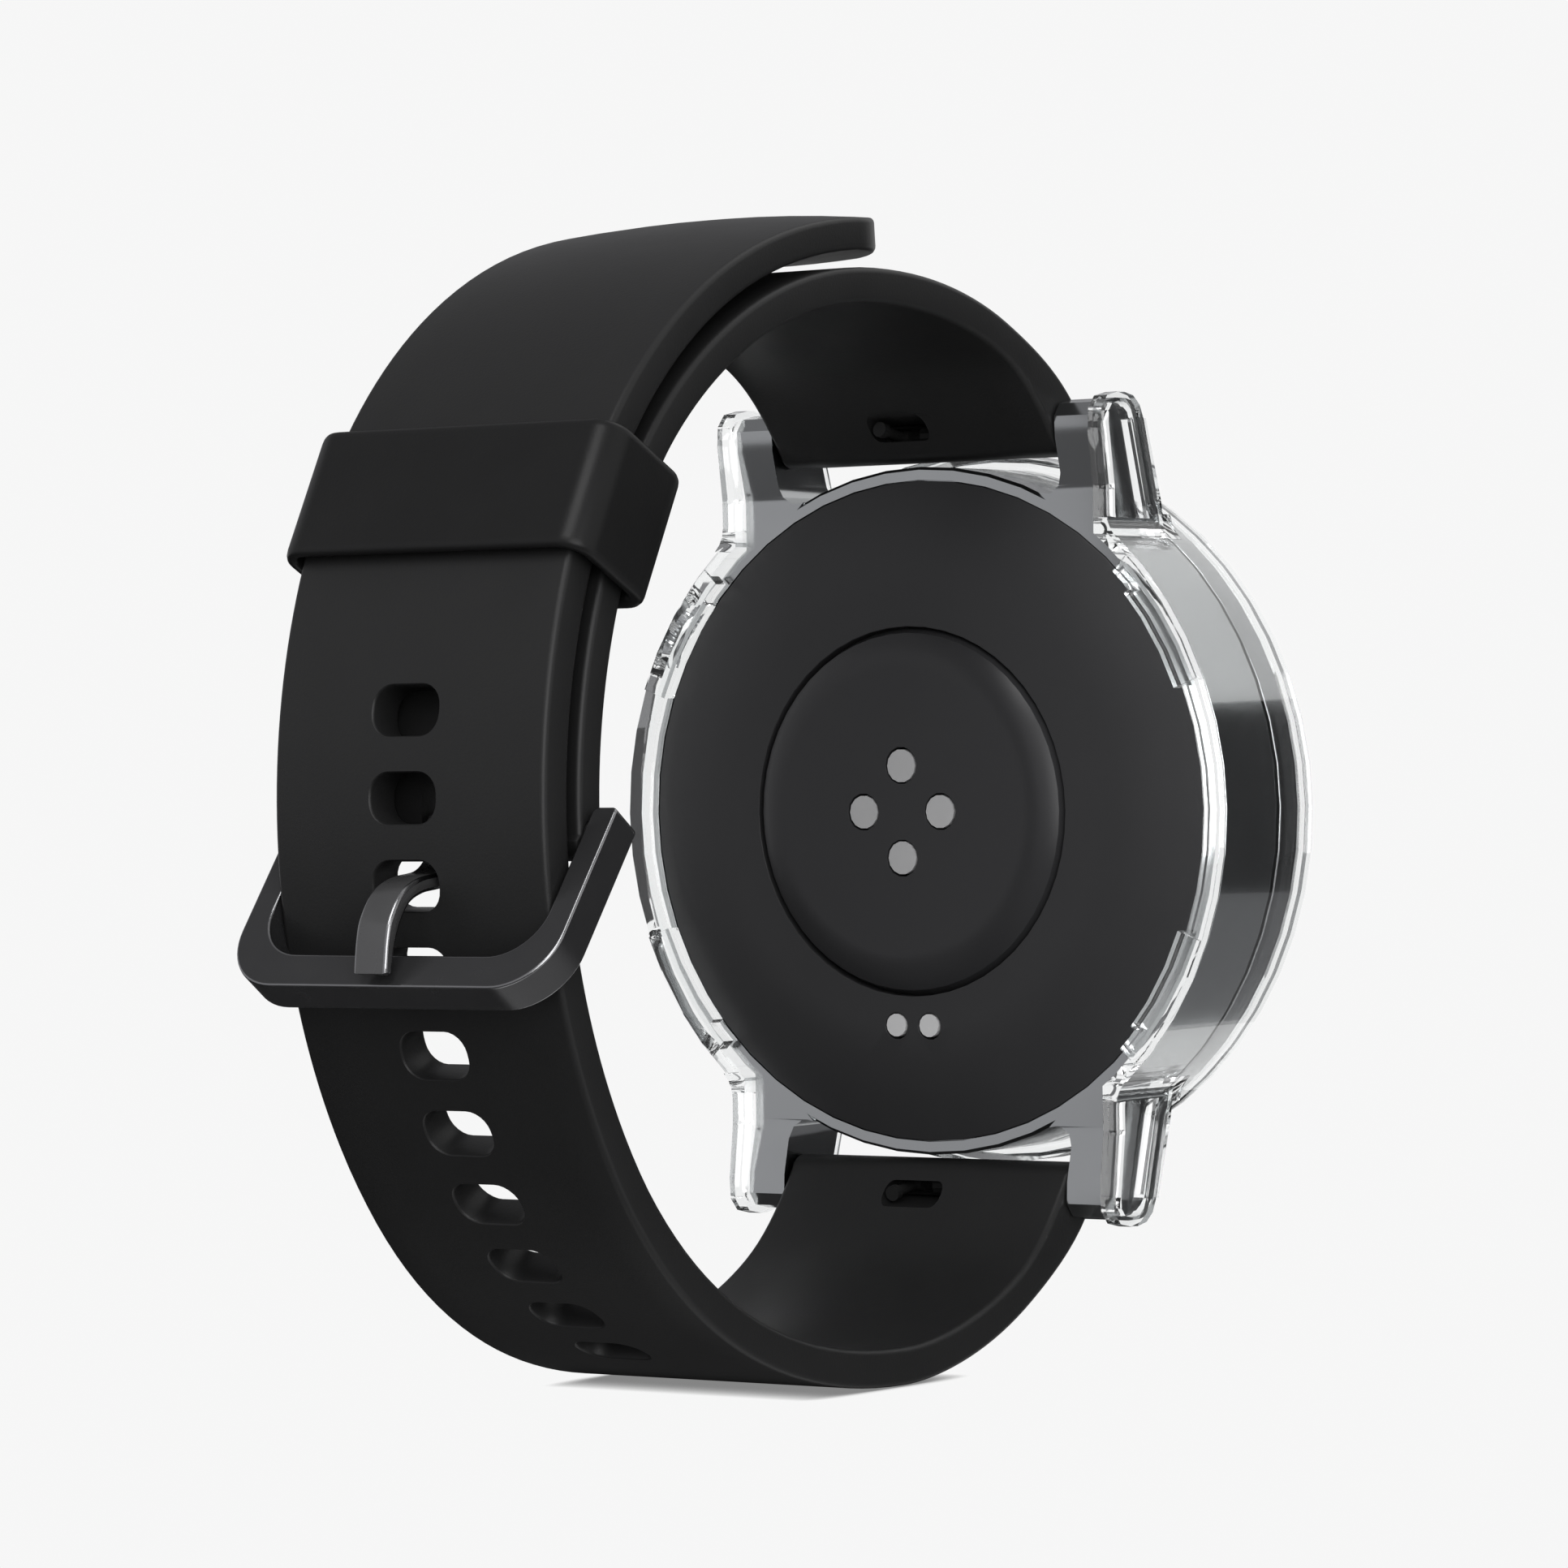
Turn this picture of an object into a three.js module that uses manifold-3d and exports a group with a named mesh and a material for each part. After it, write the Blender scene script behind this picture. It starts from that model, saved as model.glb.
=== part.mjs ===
// A round smartwatch in a clear clip-over bumper case, on a closed rubber strap with a pin buckle.
// Millimetres. +X is three o'clock, +Y points from the display to the wrist, +Z is twelve o'clock.
// The origin lies on the watch's axis, in the plane of the housing's rear rim.
import * as THREE from "three";
import { mergeVertices } from "three/addons/utils/BufferGeometryUtils.js";
import Module from "manifold-3d";

const wasm = await Module();
wasm.setup();

// Fits shared by all pieces
const seatGap = 0.2; // between pieces that rest on each other
const runningGap = 0.12; // round a shaft that turns or slides
const overrun = 2; // how far a cutting shape passes the face that it cuts

// Facets and tolerances
const ringFacets = 52;
const innerFacets = 36;
const rodFacets = 14;
const cornerSteps = 3;
const toothPoints = 2;
const oppositeDegrees = 180;
const mergeTolerance = 1e-4;
const parallelTolerance = 1e-6;

// Housing: the metal middle of the watch, with its four lugs
const housing = {
  radius: 22.4,
  depth: 6.25,
  wall: 2.4,
  rimWidth: 0.85,
  coverSeatDepth: 0.95,
  edge: 0.2,
};
const lug = {
  innerFace: 11.1,
  outerFace: 13.9,
  rootBack: 7.4,
  bendBack: 1.8,
  tipReach: 3.9,
  rearRise: 1.45,
  frontTipRise: 2.4,
  frontMidRise: 0.3,
  frontMidBack: 2.6,
  frontRootBack: 4.9,
  tipRound: 2,
  bendRound: 2.5,
  rootFillet: 1.3,
};

// Bezel, glass and display, on the display side
const bezel = {
  seam: 0.5,
  height: 2.85,
  chamfer: 0.7,
  rimWidth: 2.6,
  ledgeWidth: 0.85,
  ledgeDepth: 1.35,
  skirtDepth: 1.3,
};
const glass = { thickness: 1.05, recess: 0.1, edge: 0.25 };
const display = { thickness: 0.8, edgeGap: 0.25 };
const seal = { thickness: 0.3, inset: 0.3, width: 1.6 };

// Back cover with the sensor dome
const cover = {
  edgeGap: 0.15,
  edgeThickness: 0.75,
  rise: 1.75,
  landWidth: 9.55,
  flatWidth: 2.2,
  pocketDepth: 0.95,
  seatWidth: 2.45,
  slopePower: 1.6,
  slopeSteps: 3,
};
const dome = { edgeGap: 0.1, top: 2.64, shoulder: 2.6, wall: 1, seatWidth: 2.65, steps: 3 };
const lens = { radius: 1.08, distance: 2.98, thickness: 0.7 };
const contact = { radius: 0.75, halfSpacing: 1.28, domeGap: 2.02, proud: 0.04 };

// Pieces inside the housing
const carrier = { sideGap: 0.75, wall: 0.8, floor: 0.5, ledgeWidth: 0.8, frontGap: 0.25 };
const battery = { sideGap: 0.4, height: 3.5, offset: 4, corner: 0.5 };
const motor = { radius: 3.6, height: 2.8, sideGap: 0.7 };
const board = { thickness: 0.8, keyWidth: 6, keyDepth: 2 };
const chip = { height: 0.4, width: 5, depth: 4, inset: 4.2, count: 3, firstDegrees: 150, stepDegrees: 42 };
const sensorBoard = { edgeGap: 0.4, thickness: 0.5 };

// Crown at two o'clock and button at four o'clock
const crown = {
  degrees: 30,
  frontMargin: 0.15,
  radius: 2.8,
  height: 1.6,
  teeth: 48,
  toothDepth: 0.2,
  spotGap: 0.3,
  spotDepth: 0.35,
  travel: 0.5,
  capRadius: 2.2,
  capThickness: 0.45,
  capProud: 0.25,
  capEdge: 0.2,
  edge: 0.25,
  stemRadius: 0.8,
  stemReach: 1.5,
};
const button = {
  degrees: -30,
  frontReach: 3.05,
  length: 8,
  width: 2.4,
  height: 1.25,
  proud: 0.85,
  travel: 0.4,
  edge: 0.2,
  stemRadius: 0.7,
};
const retainer = { thickness: 0.4, width: 0.55, offset: 0.25, neckShare: 0.7 };

// Clear bumper case
const bumper = {
  gap: 0.15,
  wall: 0.85,
  rimProud: 0.8,
  rimReach: 1.5,
  rearProud: 1.05,
  lipThickness: 0.9,
  lipReach: 0.65,
  clipReach: 1.15,
  blockReach: 0.8,
  clipProud: 0.2,
  clipStartDegrees: 21,
  clipEndDegrees: 40,
  lipEndDegrees: 44.3,
  edge: 0.25,
  plateWall: 1,
  sideWall: 0.4,
  frontWall: 0.4,
  frontWallBack: 1.2,
  tipRise: 0.35,
  rearRise: 0.42,
  ringRound: 2.4,
  ringFrontRise: 0.75,
  ringFrontMidRise: 0.85,
  windowMargin: 1.05,
  windowTipBack: 0.25,
  windowRootBack: 2,
  windowRound: 1.5,
  kinkRadius: 2.2,
  crownClearance: 0.4,
  buttonClearance: 0.45,
};

// Spring bars, each with a quick-release pin
const springBar = {
  y: -1.1,
  tipBack: 1.9,
  radius: 0.75,
  boreRadius: 0.5,
  endGap: 0.6,
  tipRadius: 0.4,
  tipReach: 1.3,
};
const release = {
  leanDegrees: 10,
  travel: 1.4,
  knobX: 2,
  postRadius: 0.35,
  headRadius: 0.5,
  headHeight: 0.55,
  headTop: 2.7,
  springRoom: 0.3,
};
const recess = { endGap: 0.3, width: 4.5, height: 1.4, round: 0.6 };

// Strap: a closed loop whose far side is an arc, drawn in the YZ plane
const loop = { y: 13.6, z: 0.85, radius: 35.55 };
const strap = {
  lugGap: 0.15,
  endWidth: 20.1,
  taperStartY: 5,
  taperEndY: 45,
  edge: 0.45,
  barrelRadius: 1.75,
  flareLength: 9,
  arcStepDegrees: 8,
  bendSteps: 5,
};
const buckleHalf = {
  thickness: 2.2,
  pinDegrees: -2,
  pinInset: 0.05,
  barrelRadius: 1.6,
  slotGap: 0.35,
  slotReach: 3,
};
const holeHalf = { thickness: 2.4, layerGap: 0.95, tipThickness: 1.95, tipRound: 5.1, tipCrown: 0.5, tipSteps: 5 };
const upperBend = { degrees: 35.9, crestY: 19.64, crestRise: 8.27, headingDegrees: 231.9 };
const lowerBend = { degrees: 29.9, crestY: 18.62, crestRise: 9.57, headingDegrees: 234.9 };
const tail = { degrees: 29.3, endY: 20.8, endRise: 3.19, headingDegrees: 175.7, tipDegrees: 178.3 };
const upperHandleShares = [0.148, 0.504, 0.509, 0.235];
const lowerHandleShares = [0.396, 0.367, 0.244, 0.389];
const tailHandleShares = [0.23, 0.483];
const hole = {
  count: 10,
  tongueIndex: 2,
  tongueDegrees: -6,
  pitch: 5,
  sideShift: 0.35,
  width: 4.8,
  height: 3,
  round: 1.3,
};

// Buckle: frame, pin and tongue
const buckle = {
  degrees: -53.3,
  reach: 11.5,
  barWidth: 2.25,
  sideGap: 0.2,
  armWidth: 1.75,
  armEnd: 1.2,
  armRound: 0.4,
  frontHeight: 1,
  thickness: 2.4,
  outerRound: 3.9,
  innerRound: 3.2,
  bevel: 0.16,
  pinRadius: 0.72,
  pinInset: 0.8,
};
const tongue = { width: 2.45, thickness: 0.95, tipThickness: 0.7, eyeRadius: 1.4 };

// The tongue's middle line, along and off the frame's plane, as shares of the frame's reach
const tonguePathShares = [
  [0.05, 0],
  [0.2, 0],
  [0.31, 0.045],
  [0.44, 0.175],
  [0.56, 0.245],
  [0.7, 0.25],
  [0.82, 0.215],
  [0.965, 0.145],
];

// Keeper: the wide loop that holds the strap's free end
const keeper = {
  degrees: 28,
  length: 8.4,
  wall: 0.75,
  innerWall: 1.2,
  sideWall: 0.9,
  gap: 0.2,
  innerGap: 0.3,
  sideGap: 0.45,
  round: 1.9,
  innerRound: 1,
};

// Places worked out from the sizes above
const cavityRadius = housing.radius - housing.wall;
const coverSeatRadius = housing.radius - housing.rimWidth;
const lugTipZ = housing.radius + lug.tipReach;
const lugBendZ = housing.radius - lug.bendBack;
const lugRootZ = housing.radius - lug.rootBack;
const lugFrontMidZ = housing.radius - lug.frontMidBack;
const lugFrontRootZ = housing.radius - lug.frontRootBack;
const lugFrontTipY = lug.frontTipRise - housing.depth;
const lugFrontMidY = lug.frontMidRise - housing.depth;
const springBarZ = lugTipZ - springBar.tipBack;
const bezelRimRadius = housing.radius - bezel.rimWidth;
const ledgeRadius = bezelRimRadius - bezel.ledgeWidth;
const bezelRearY = -housing.depth - bezel.seam;
const bezelFrontY = bezelRearY - bezel.height;
const glassFrontY = bezelFrontY + glass.recess;
const glassRearY = glassFrontY + glass.thickness;
const ledgeY = bezelFrontY + bezel.ledgeDepth;
const displayRearY = ledgeY + display.thickness;
const carrierFrontY = displayRearY + carrier.frontGap;
const carrierFloorY = carrierFrontY + carrier.floor;
const batteryRearY = carrierFloorY + seatGap + battery.height;
const boardFrontY = batteryRearY + seatGap;
const boardRearY = boardFrontY + board.thickness;
const coverFrontY = -cover.edgeThickness;
const coverEdgeRadius = coverSeatRadius - cover.edgeGap;
const domeRadius = coverEdgeRadius - cover.landWidth;
const pocketRadius = domeRadius + dome.edgeGap;
const plateauRadius = pocketRadius + cover.flatWidth;
const openingRadius = pocketRadius - cover.seatWidth;
const domeSeatY = cover.rise - cover.pocketDepth;
const contactZ = -domeRadius - contact.domeGap;
const carrierRadius = ledgeRadius - carrier.sideGap;
const carrierRoom = carrierRadius - carrier.wall - carrier.ledgeWidth;
const boardRadius = carrierRadius - carrier.wall - seatGap;
const crownY = crown.radius + crown.frontMargin - housing.depth;
const buttonY = button.frontReach - housing.depth;
const bumperInner = housing.radius + bumper.gap;
const bumperOuter = bumperInner + bumper.wall;
const plateInner = lug.outerFace + bumper.gap;
const plateOuter = plateInner + bumper.plateWall;
const sideOuter = plateInner + bumper.sideWall;
const crownBase = housing.radius - crown.spotDepth + crown.travel + seatGap;
const crownTop = crownBase + crown.height;
const buttonBase = housing.radius + button.proud - button.height;
const crownStemStart = carrierRadius + crown.travel + seatGap;
const buttonStemStart = carrierRadius + button.travel + seatGap;
const lugWidth = (lug.innerFace - strap.lugGap) * 2;
const recessX = release.knobX + release.headRadius + recess.endGap - recess.width / 2;
const buckleInner = strap.endWidth / 2 + buckle.sideGap;
const buckleOuter = buckleInner + buckle.armWidth;
const pinHalf = buckleOuter - buckle.pinInset;
const layerStep = buckleHalf.thickness / 2 + holeHalf.layerGap + holeHalf.thickness / 2;
const outerLayerRadius = loop.radius + layerStep;

// Turns a geometry into a solid that can be cut and joined
function solidFrom(geometry) {
  const bare = new THREE.BufferGeometry();
  bare.setAttribute("position", geometry.getAttribute("position"));
  if (geometry.index) bare.setIndex(geometry.index);
  const merged = mergeVertices(bare, mergeTolerance);
  const corners = merged.index.array;
  const kept = [];
  for (let i = 0; i < corners.length; i += 3) {
    const [a, b, c] = [corners[i], corners[i + 1], corners[i + 2]];
    if (a !== b && b !== c && c !== a) kept.push([a, b, c]);
  }
  const build = (triangles) =>
    new wasm.Manifold(
      new wasm.Mesh({
        numProp: 3,
        vertProperties: merged.getAttribute("position").array,
        triVerts: new Uint32Array(triangles.flat()),
      }),
    );
  const made = build(kept);
  return made.volume() > 0 ? made : build(kept.map(([a, b, c]) => [a, c, b]));
}

function geometryFrom(solid) {
  const mesh = solid.getMesh();
  const geometry = new THREE.BufferGeometry();
  geometry.setAttribute("position", new THREE.BufferAttribute(new Float32Array(mesh.vertProperties), 3));
  geometry.setIndex(new THREE.BufferAttribute(new Uint32Array(mesh.triVerts), 1));
  return geometry;
}

function placed(solid, matrix) {
  return solidFrom(geometryFrom(solid).applyMatrix4(matrix));
}

function joined(...solids) {
  return solids.reduce((sum, next) => sum.add(next));
}

// Copies of a piece of the first quarter in all four quarters of the dial
const quarters = [
  [1, 1],
  [-1, 1],
  [-1, -1],
  [1, -1],
];
function inAllQuarters(solid) {
  return quarters.map(([x, z]) => placed(solid, new THREE.Matrix4().makeScale(x, 1, z)));
}

function radians(degrees) {
  return THREE.MathUtils.degToRad(degrees);
}

// Area inside an outline, positive when its points run anticlockwise
function signedArea(points) {
  return points.reduce((sum, [u, v], i) => {
    const [nextU, nextV] = points[(i + 1) % points.length];
    return sum + (u * nextV - nextU * v) / 2;
  }, 0);
}

// Revolves a closed outline of [radius, y] points about the Y axis
function revolved(outline, facets = ringFacets) {
  const points = signedArea(outline) > 0 ? outline : [...outline].reverse();
  const profile = [...points, points[0]].map(([radius, y]) => new THREE.Vector2(radius, y));
  return solidFrom(new THREE.LatheGeometry(profile, facets));
}

function disc(radius, fromY, toY, facets = ringFacets) {
  return revolved([[0, fromY], [radius, fromY], [radius, toY], [0, toY]], facets);
}

function ring(innerRadius, outerRadius, fromY, toY, facets = ringFacets) {
  return revolved([[innerRadius, fromY], [outerRadius, fromY], [outerRadius, toY], [innerRadius, toY]], facets);
}

// Places: a shape is drawn in u and v and extruded along w
const axisX = new THREE.Vector3(1, 0, 0);
const axisY = new THREE.Vector3(0, 1, 0);
const axisZ = new THREE.Vector3(0, 0, 1);
function place(u, v, w, origin = new THREE.Vector3()) {
  return new THREE.Matrix4().makeBasis(u, v, w).setPosition(origin);
}
function alongX(x = 0, y = 0, z = 0) {
  return place(axisY, axisZ, axisX, new THREE.Vector3(x, y, z));
}
function alongY(x = 0, y = 0, z = 0) {
  return place(axisZ, axisX, axisY, new THREE.Vector3(x, y, z));
}

// Outwards from the watch's axis at an angle of the dial: u runs along Y and v round the case
function alongRadius(degrees, y) {
  const angle = radians(degrees);
  const outwards = new THREE.Vector3(Math.cos(angle), 0, Math.sin(angle));
  const round = new THREE.Vector3(-Math.sin(angle), 0, Math.cos(angle));
  return place(axisY, round, outwards, new THREE.Vector3(0, y, 0));
}

// Along a direction of the YZ plane from a point of it: u runs along X
function alongDirection(directionY, directionZ, y, z) {
  const outwards = new THREE.Vector3(0, directionY, directionZ);
  const across = new THREE.Vector3().crossVectors(outwards, axisX);
  return place(axisX, across, outwards, new THREE.Vector3(0, y, z));
}

// Extrudes a shape between two depths and puts it in its place
function prism(shape, from, to, matrix) {
  const geometry = new THREE.ExtrudeGeometry(shape, {
    depth: to - from,
    bevelEnabled: false,
    curveSegments: cornerSteps,
  });
  geometry.translate(0, 0, from);
  geometry.applyMatrix4(matrix);
  return solidFrom(geometry);
}

function rod(radius, from, to, matrix, facets = rodFacets) {
  const geometry = new THREE.CylinderGeometry(radius, radius, to - from, facets);
  geometry.rotateX(Math.PI / 2);
  geometry.translate(0, 0, (from + to) / 2);
  geometry.applyMatrix4(matrix);
  return solidFrom(geometry);
}

function block(size, centre) {
  const geometry = new THREE.BoxGeometry(...size);
  geometry.translate(...centre);
  return solidFrom(geometry);
}

function polygon(points) {
  return new THREE.Shape(points.map(([u, v]) => new THREE.Vector2(u, v)));
}

// Rounds the corners of an outline of [u, v, radius] points
function roundedOutline(corners) {
  const points = [];
  corners.forEach(([u, v, radius = 0], i) => {
    if (!radius) {
      points.push([u, v]);
      return;
    }
    const here = new THREE.Vector2(u, v);
    const towards = [corners.at(i - 1), corners[(i + 1) % corners.length]].map(
      ([otherU, otherV]) => new THREE.Vector2(otherU, otherV).sub(here),
    );
    const halfAngle = towards[0].angleTo(towards[1]) / 2;
    const shortest = Math.min(towards[0].length(), towards[1].length());
    const setBack = Math.min(radius / Math.tan(halfAngle), shortest / 2);
    const [start, end] = towards.map((side) => side.clone().setLength(setBack).add(here));
    const curve = new THREE.QuadraticBezierCurve(start, here, end);
    curve.getPoints(cornerSteps).forEach((point) => points.push([point.x, point.y]));
  });
  return points;
}

function roundedRectangle(width, height, radius, centreU = 0, centreV = 0) {
  const [halfWidth, halfHeight] = [width / 2, height / 2];
  return polygon(
    roundedOutline([
      [centreU - halfWidth, centreV - halfHeight, radius],
      [centreU + halfWidth, centreV - halfHeight, radius],
      [centreU + halfWidth, centreV + halfHeight, radius],
      [centreU - halfWidth, centreV + halfHeight, radius],
    ]),
  );
}

// Moves the edges of an outline outwards and keeps its corner radii
function offsetOutline(corners, distance) {
  const turn = Math.sign(signedArea(corners));
  const edges = corners.map(([u, v], i) => {
    const [nextU, nextV] = corners[(i + 1) % corners.length];
    const along = new THREE.Vector2(nextU - u, nextV - v).normalize();
    return { u: u + turn * along.y * distance, v: v - turn * along.x * distance, along };
  });
  return corners.map(([, , radius], i) => {
    const [before, after] = [edges.at(i - 1), edges[i]];
    const turning = before.along.cross(after.along);
    if (Math.abs(turning) < parallelTolerance) return [after.u, after.v, radius];
    const step = new THREE.Vector2(after.u - before.u, after.v - before.v).cross(after.along) / turning;
    return [before.u + before.along.x * step, before.v + before.along.y * step, radius];
  });
}

// Skins a row of equal rings of points and closes both ends
function lofted(rings) {
  const count = rings[0].length;
  const last = (rings.length - 1) * count;
  const triangles = [];
  for (let row = 0; row < last; row += count) {
    for (let i = 0; i < count; i += 1) {
      const [a, b] = [row + i, row + ((i + 1) % count)];
      triangles.push(a, b, b + count, a, b + count, a + count);
    }
  }
  for (let i = 1; i + 1 < count; i += 1) {
    triangles.push(0, i + 1, i);
    triangles.push(last, last + i, last + i + 1);
  }
  const geometry = new THREE.BufferGeometry();
  const positions = rings.flat().flatMap((point) => point.toArray());
  geometry.setAttribute("position", new THREE.Float32BufferAttribute(positions, 3));
  geometry.setIndex(triangles);
  return solidFrom(geometry);
}

// Part of the case between two angles of the dial
function sector(fromDegrees, toDegrees, fromY, toY) {
  const points = [[0, 0]];
  for (const degrees of [fromDegrees, (fromDegrees + toDegrees) / 2, toDegrees]) {
    const reach = bumperOuter * 2;
    points.push([reach * Math.sin(radians(degrees)), reach * Math.cos(radians(degrees))]);
  }
  return prism(polygon(points), fromY, toY, alongY());
}

// Fills the corner between the round case and a face across it, at the side given by its sign
function cornerFill(caseRadius, faceX, radius, side, width) {
  const centreX = faceX + side * radius;
  const centreZ = Math.sqrt((caseRadius + radius) ** 2 - centreX ** 2);
  const fromAngle = Math.atan2(-centreZ, -centreX);
  const toAngle = side > 0 ? -Math.PI : 0;
  const points = [];
  for (let i = 0; i <= cornerSteps; i += 1) {
    const angle = fromAngle + ((toAngle - fromAngle) * i) / cornerSteps;
    points.push([centreZ + radius * Math.sin(angle), centreX + radius * Math.cos(angle)]);
  }
  const insideX = faceX - side * width;
  points.push([centreZ, insideX], [Math.sqrt(caseRadius ** 2 - insideX ** 2) - width, insideX]);
  return prism(polygon(points), -housing.depth * 2, housing.depth, alongY());
}

const crownPlace = alongRadius(crown.degrees, crownY);
const buttonPlace = alongRadius(button.degrees, buttonY);

// Side view of a lug, as [y, z, corner radius]
const lugSide = [
  [0, lugRootZ, 0],
  [0, lugBendZ, lug.bendRound],
  [lug.rearRise, lugTipZ, lug.tipRound],
  [lugFrontTipY, lugTipZ, lug.tipRound],
  [lugFrontMidY, lugFrontMidZ, lug.bendRound],
  [-housing.depth, lugFrontRootZ, 0],
  [-housing.depth, lugRootZ, 0],
];

function makeHousing() {
  const body = revolved([
    [cavityRadius, -housing.depth],
    [housing.radius, -housing.depth],
    [housing.radius, -housing.edge],
    [housing.radius - housing.edge, 0],
    [coverSeatRadius, 0],
    [coverSeatRadius, -housing.coverSeatDepth],
    [cavityRadius, -housing.coverSeatDepth],
  ]);
  const side = polygon(roundedOutline(lugSide));
  const fill = cornerFill(housing.radius, lug.innerFace, lug.rootFillet, -1, lug.rootFillet);
  const width = lug.outerFace - lug.innerFace;
  const root = prism(side, lug.innerFace - width, lug.outerFace, alongX()).intersect(fill);
  const core = disc(housing.radius - housing.edge * 2, -housing.depth * 2, housing.depth);
  const tipHole = rod(
    springBar.tipRadius + runningGap,
    lug.innerFace - overrun,
    lug.innerFace + springBar.tipReach + seatGap,
    alongX(0, springBar.y, springBarZ),
  );
  const oneLug = prism(side, lug.innerFace, lug.outerFace, alongX()).add(root).subtract(core).subtract(tipHole);
  const cuts = [
    rod(
      crown.radius + crown.spotGap,
      housing.radius - crown.spotDepth,
      housing.radius + overrun,
      crownPlace,
      innerFacets / 2,
    ),
    rod(crown.stemRadius + runningGap, crownStemStart, housing.radius + overrun, crownPlace),
    rod(button.stemRadius + runningGap, buttonStemStart, housing.radius + overrun, buttonPlace),
    prism(
      roundedRectangle(button.width + seatGap * 2, button.length + seatGap * 2, button.width / 2),
      buttonBase - button.travel - runningGap,
      housing.radius + overrun,
      buttonPlace,
    ),
  ];
  return cuts.reduce((left, cut) => left.subtract(cut), joined(body, ...inAllQuarters(oneLug)));
}

function makeBezel() {
  const skirtRadius = cavityRadius - seatGap;
  return revolved([
    [ledgeRadius, bezelRearY + bezel.skirtDepth],
    [skirtRadius, bezelRearY + bezel.skirtDepth],
    [skirtRadius, bezelRearY],
    [housing.radius, bezelRearY],
    [housing.radius, bezelFrontY + bezel.chamfer],
    [housing.radius - bezel.chamfer, bezelFrontY],
    [bezelRimRadius, bezelFrontY],
    [bezelRimRadius, ledgeY],
    [ledgeRadius, ledgeY],
  ]);
}

function makeSeal() {
  const outer = housing.radius - seal.inset;
  const centreY = (bezelRearY - housing.depth) / 2;
  const half = seal.thickness / 2;
  return ring(outer - seal.width, outer, centreY - half, centreY + half, innerFacets);
}

function makeGlass() {
  const radius = bezelRimRadius - seatGap;
  return revolved([
    [0, glassFrontY],
    [radius - glass.edge, glassFrontY],
    [radius, glassFrontY + glass.edge],
    [radius, glassRearY],
    [0, glassRearY],
  ]);
}

// Height of the back cover's outside at a distance from the watch's axis
function coverHeight(radius) {
  const share = Math.max(0, (radius - plateauRadius) / (coverEdgeRadius - plateauRadius));
  return cover.rise * (1 - share ** cover.slopePower);
}

const contactPlaces = [-1, 1].map((side) => alongY(side * contact.halfSpacing, 0, contactZ));
const contactTopY = coverHeight(Math.hypot(contact.halfSpacing, contactZ)) + contact.proud;

function makeCover() {
  const slope = [];
  for (let i = 0; i <= cover.slopeSteps; i += 1) {
    const radius = coverEdgeRadius + ((plateauRadius - coverEdgeRadius) * i) / cover.slopeSteps;
    slope.push([radius, coverHeight(radius)]);
  }
  const shell = revolved([
    [openingRadius, coverFrontY],
    [coverEdgeRadius, coverFrontY],
    ...slope,
    [pocketRadius, cover.rise],
    [pocketRadius, domeSeatY],
    [openingRadius, domeSeatY],
  ]);
  return contactPlaces.reduce(
    (left, matrix) => left.subtract(rod(contact.radius + runningGap, coverFrontY, cover.rise + overrun, matrix)),
    shell,
  );
}

const lensPlaces = {
  top: [0, 1],
  right: [1, 0],
  bottom: [0, -1],
  left: [-1, 0],
};
function lensPlace([x, z]) {
  return alongY(x * lens.distance, 0, z * lens.distance);
}

function makeDome() {
  const frontY = domeSeatY + seatGap;
  const side = [];
  for (let i = 0; i <= dome.steps; i += 1) {
    const angle = ((i / dome.steps) * Math.PI) / 2;
    const radius = domeRadius - dome.shoulder * (1 - Math.cos(angle));
    side.push([radius, frontY + (dome.top - frontY) * Math.sin(angle)]);
  }
  const hollowRadius = domeRadius - dome.seatWidth;
  const shell = revolved([
    [hollowRadius, frontY],
    ...side,
    [0, dome.top],
    [0, dome.top - dome.wall],
    [hollowRadius - dome.wall / 2, dome.top - dome.wall],
  ]);
  return Object.values(lensPlaces).reduce(
    (left, spot) => left.subtract(rod(lens.radius + runningGap, 0, dome.top + overrun, lensPlace(spot))),
    shell,
  );
}

function makeCarrier() {
  const rearY = coverFrontY - seatGap;
  const ledgeFaceY = boardFrontY - seatGap;
  return revolved(
    [
      [0, carrierFrontY],
      [carrierRadius, carrierFrontY],
      [carrierRadius, rearY],
      [carrierRadius - carrier.wall, rearY],
      [carrierRadius - carrier.wall, ledgeFaceY],
      [carrierRoom, ledgeFaceY],
      [carrierRoom, carrierFloorY],
      [0, carrierFloorY],
    ],
    innerFacets,
  );
}

function makeBattery() {
  const frontY = carrierFloorY + seatGap;
  const radius = carrierRoom - battery.offset - battery.sideGap;
  const cell = revolved(
    [
      [0, frontY],
      [radius, frontY],
      [radius, batteryRearY - battery.corner],
      [radius - battery.corner, batteryRearY],
      [0, batteryRearY],
    ],
    innerFacets,
  );
  return placed(cell, new THREE.Matrix4().makeTranslation(-battery.offset, 0, 0));
}

function makeMotor() {
  const frontY = carrierFloorY + seatGap;
  const x = carrierRoom - motor.sideGap - motor.radius;
  return rod(motor.radius, frontY, frontY + motor.height, alongY(x), innerFacets / 2);
}

function makeBoard() {
  const plate = disc(boardRadius, boardFrontY, boardRearY, innerFacets);
  const key = block([board.keyWidth, housing.depth, board.keyDepth * 2], [0, boardFrontY, boardRadius]);
  const distance = boardRadius - chip.inset;
  const chips = [];
  for (let i = 0; i < chip.count; i += 1) {
    const angle = radians(chip.firstDegrees + chip.stepDegrees * i);
    const centre = [distance * Math.cos(angle), boardRearY, distance * Math.sin(angle)];
    chips.push(block([chip.width, chip.height * 2, chip.depth], centre));
  }
  return joined(plate.subtract(key), ...chips);
}

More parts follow.
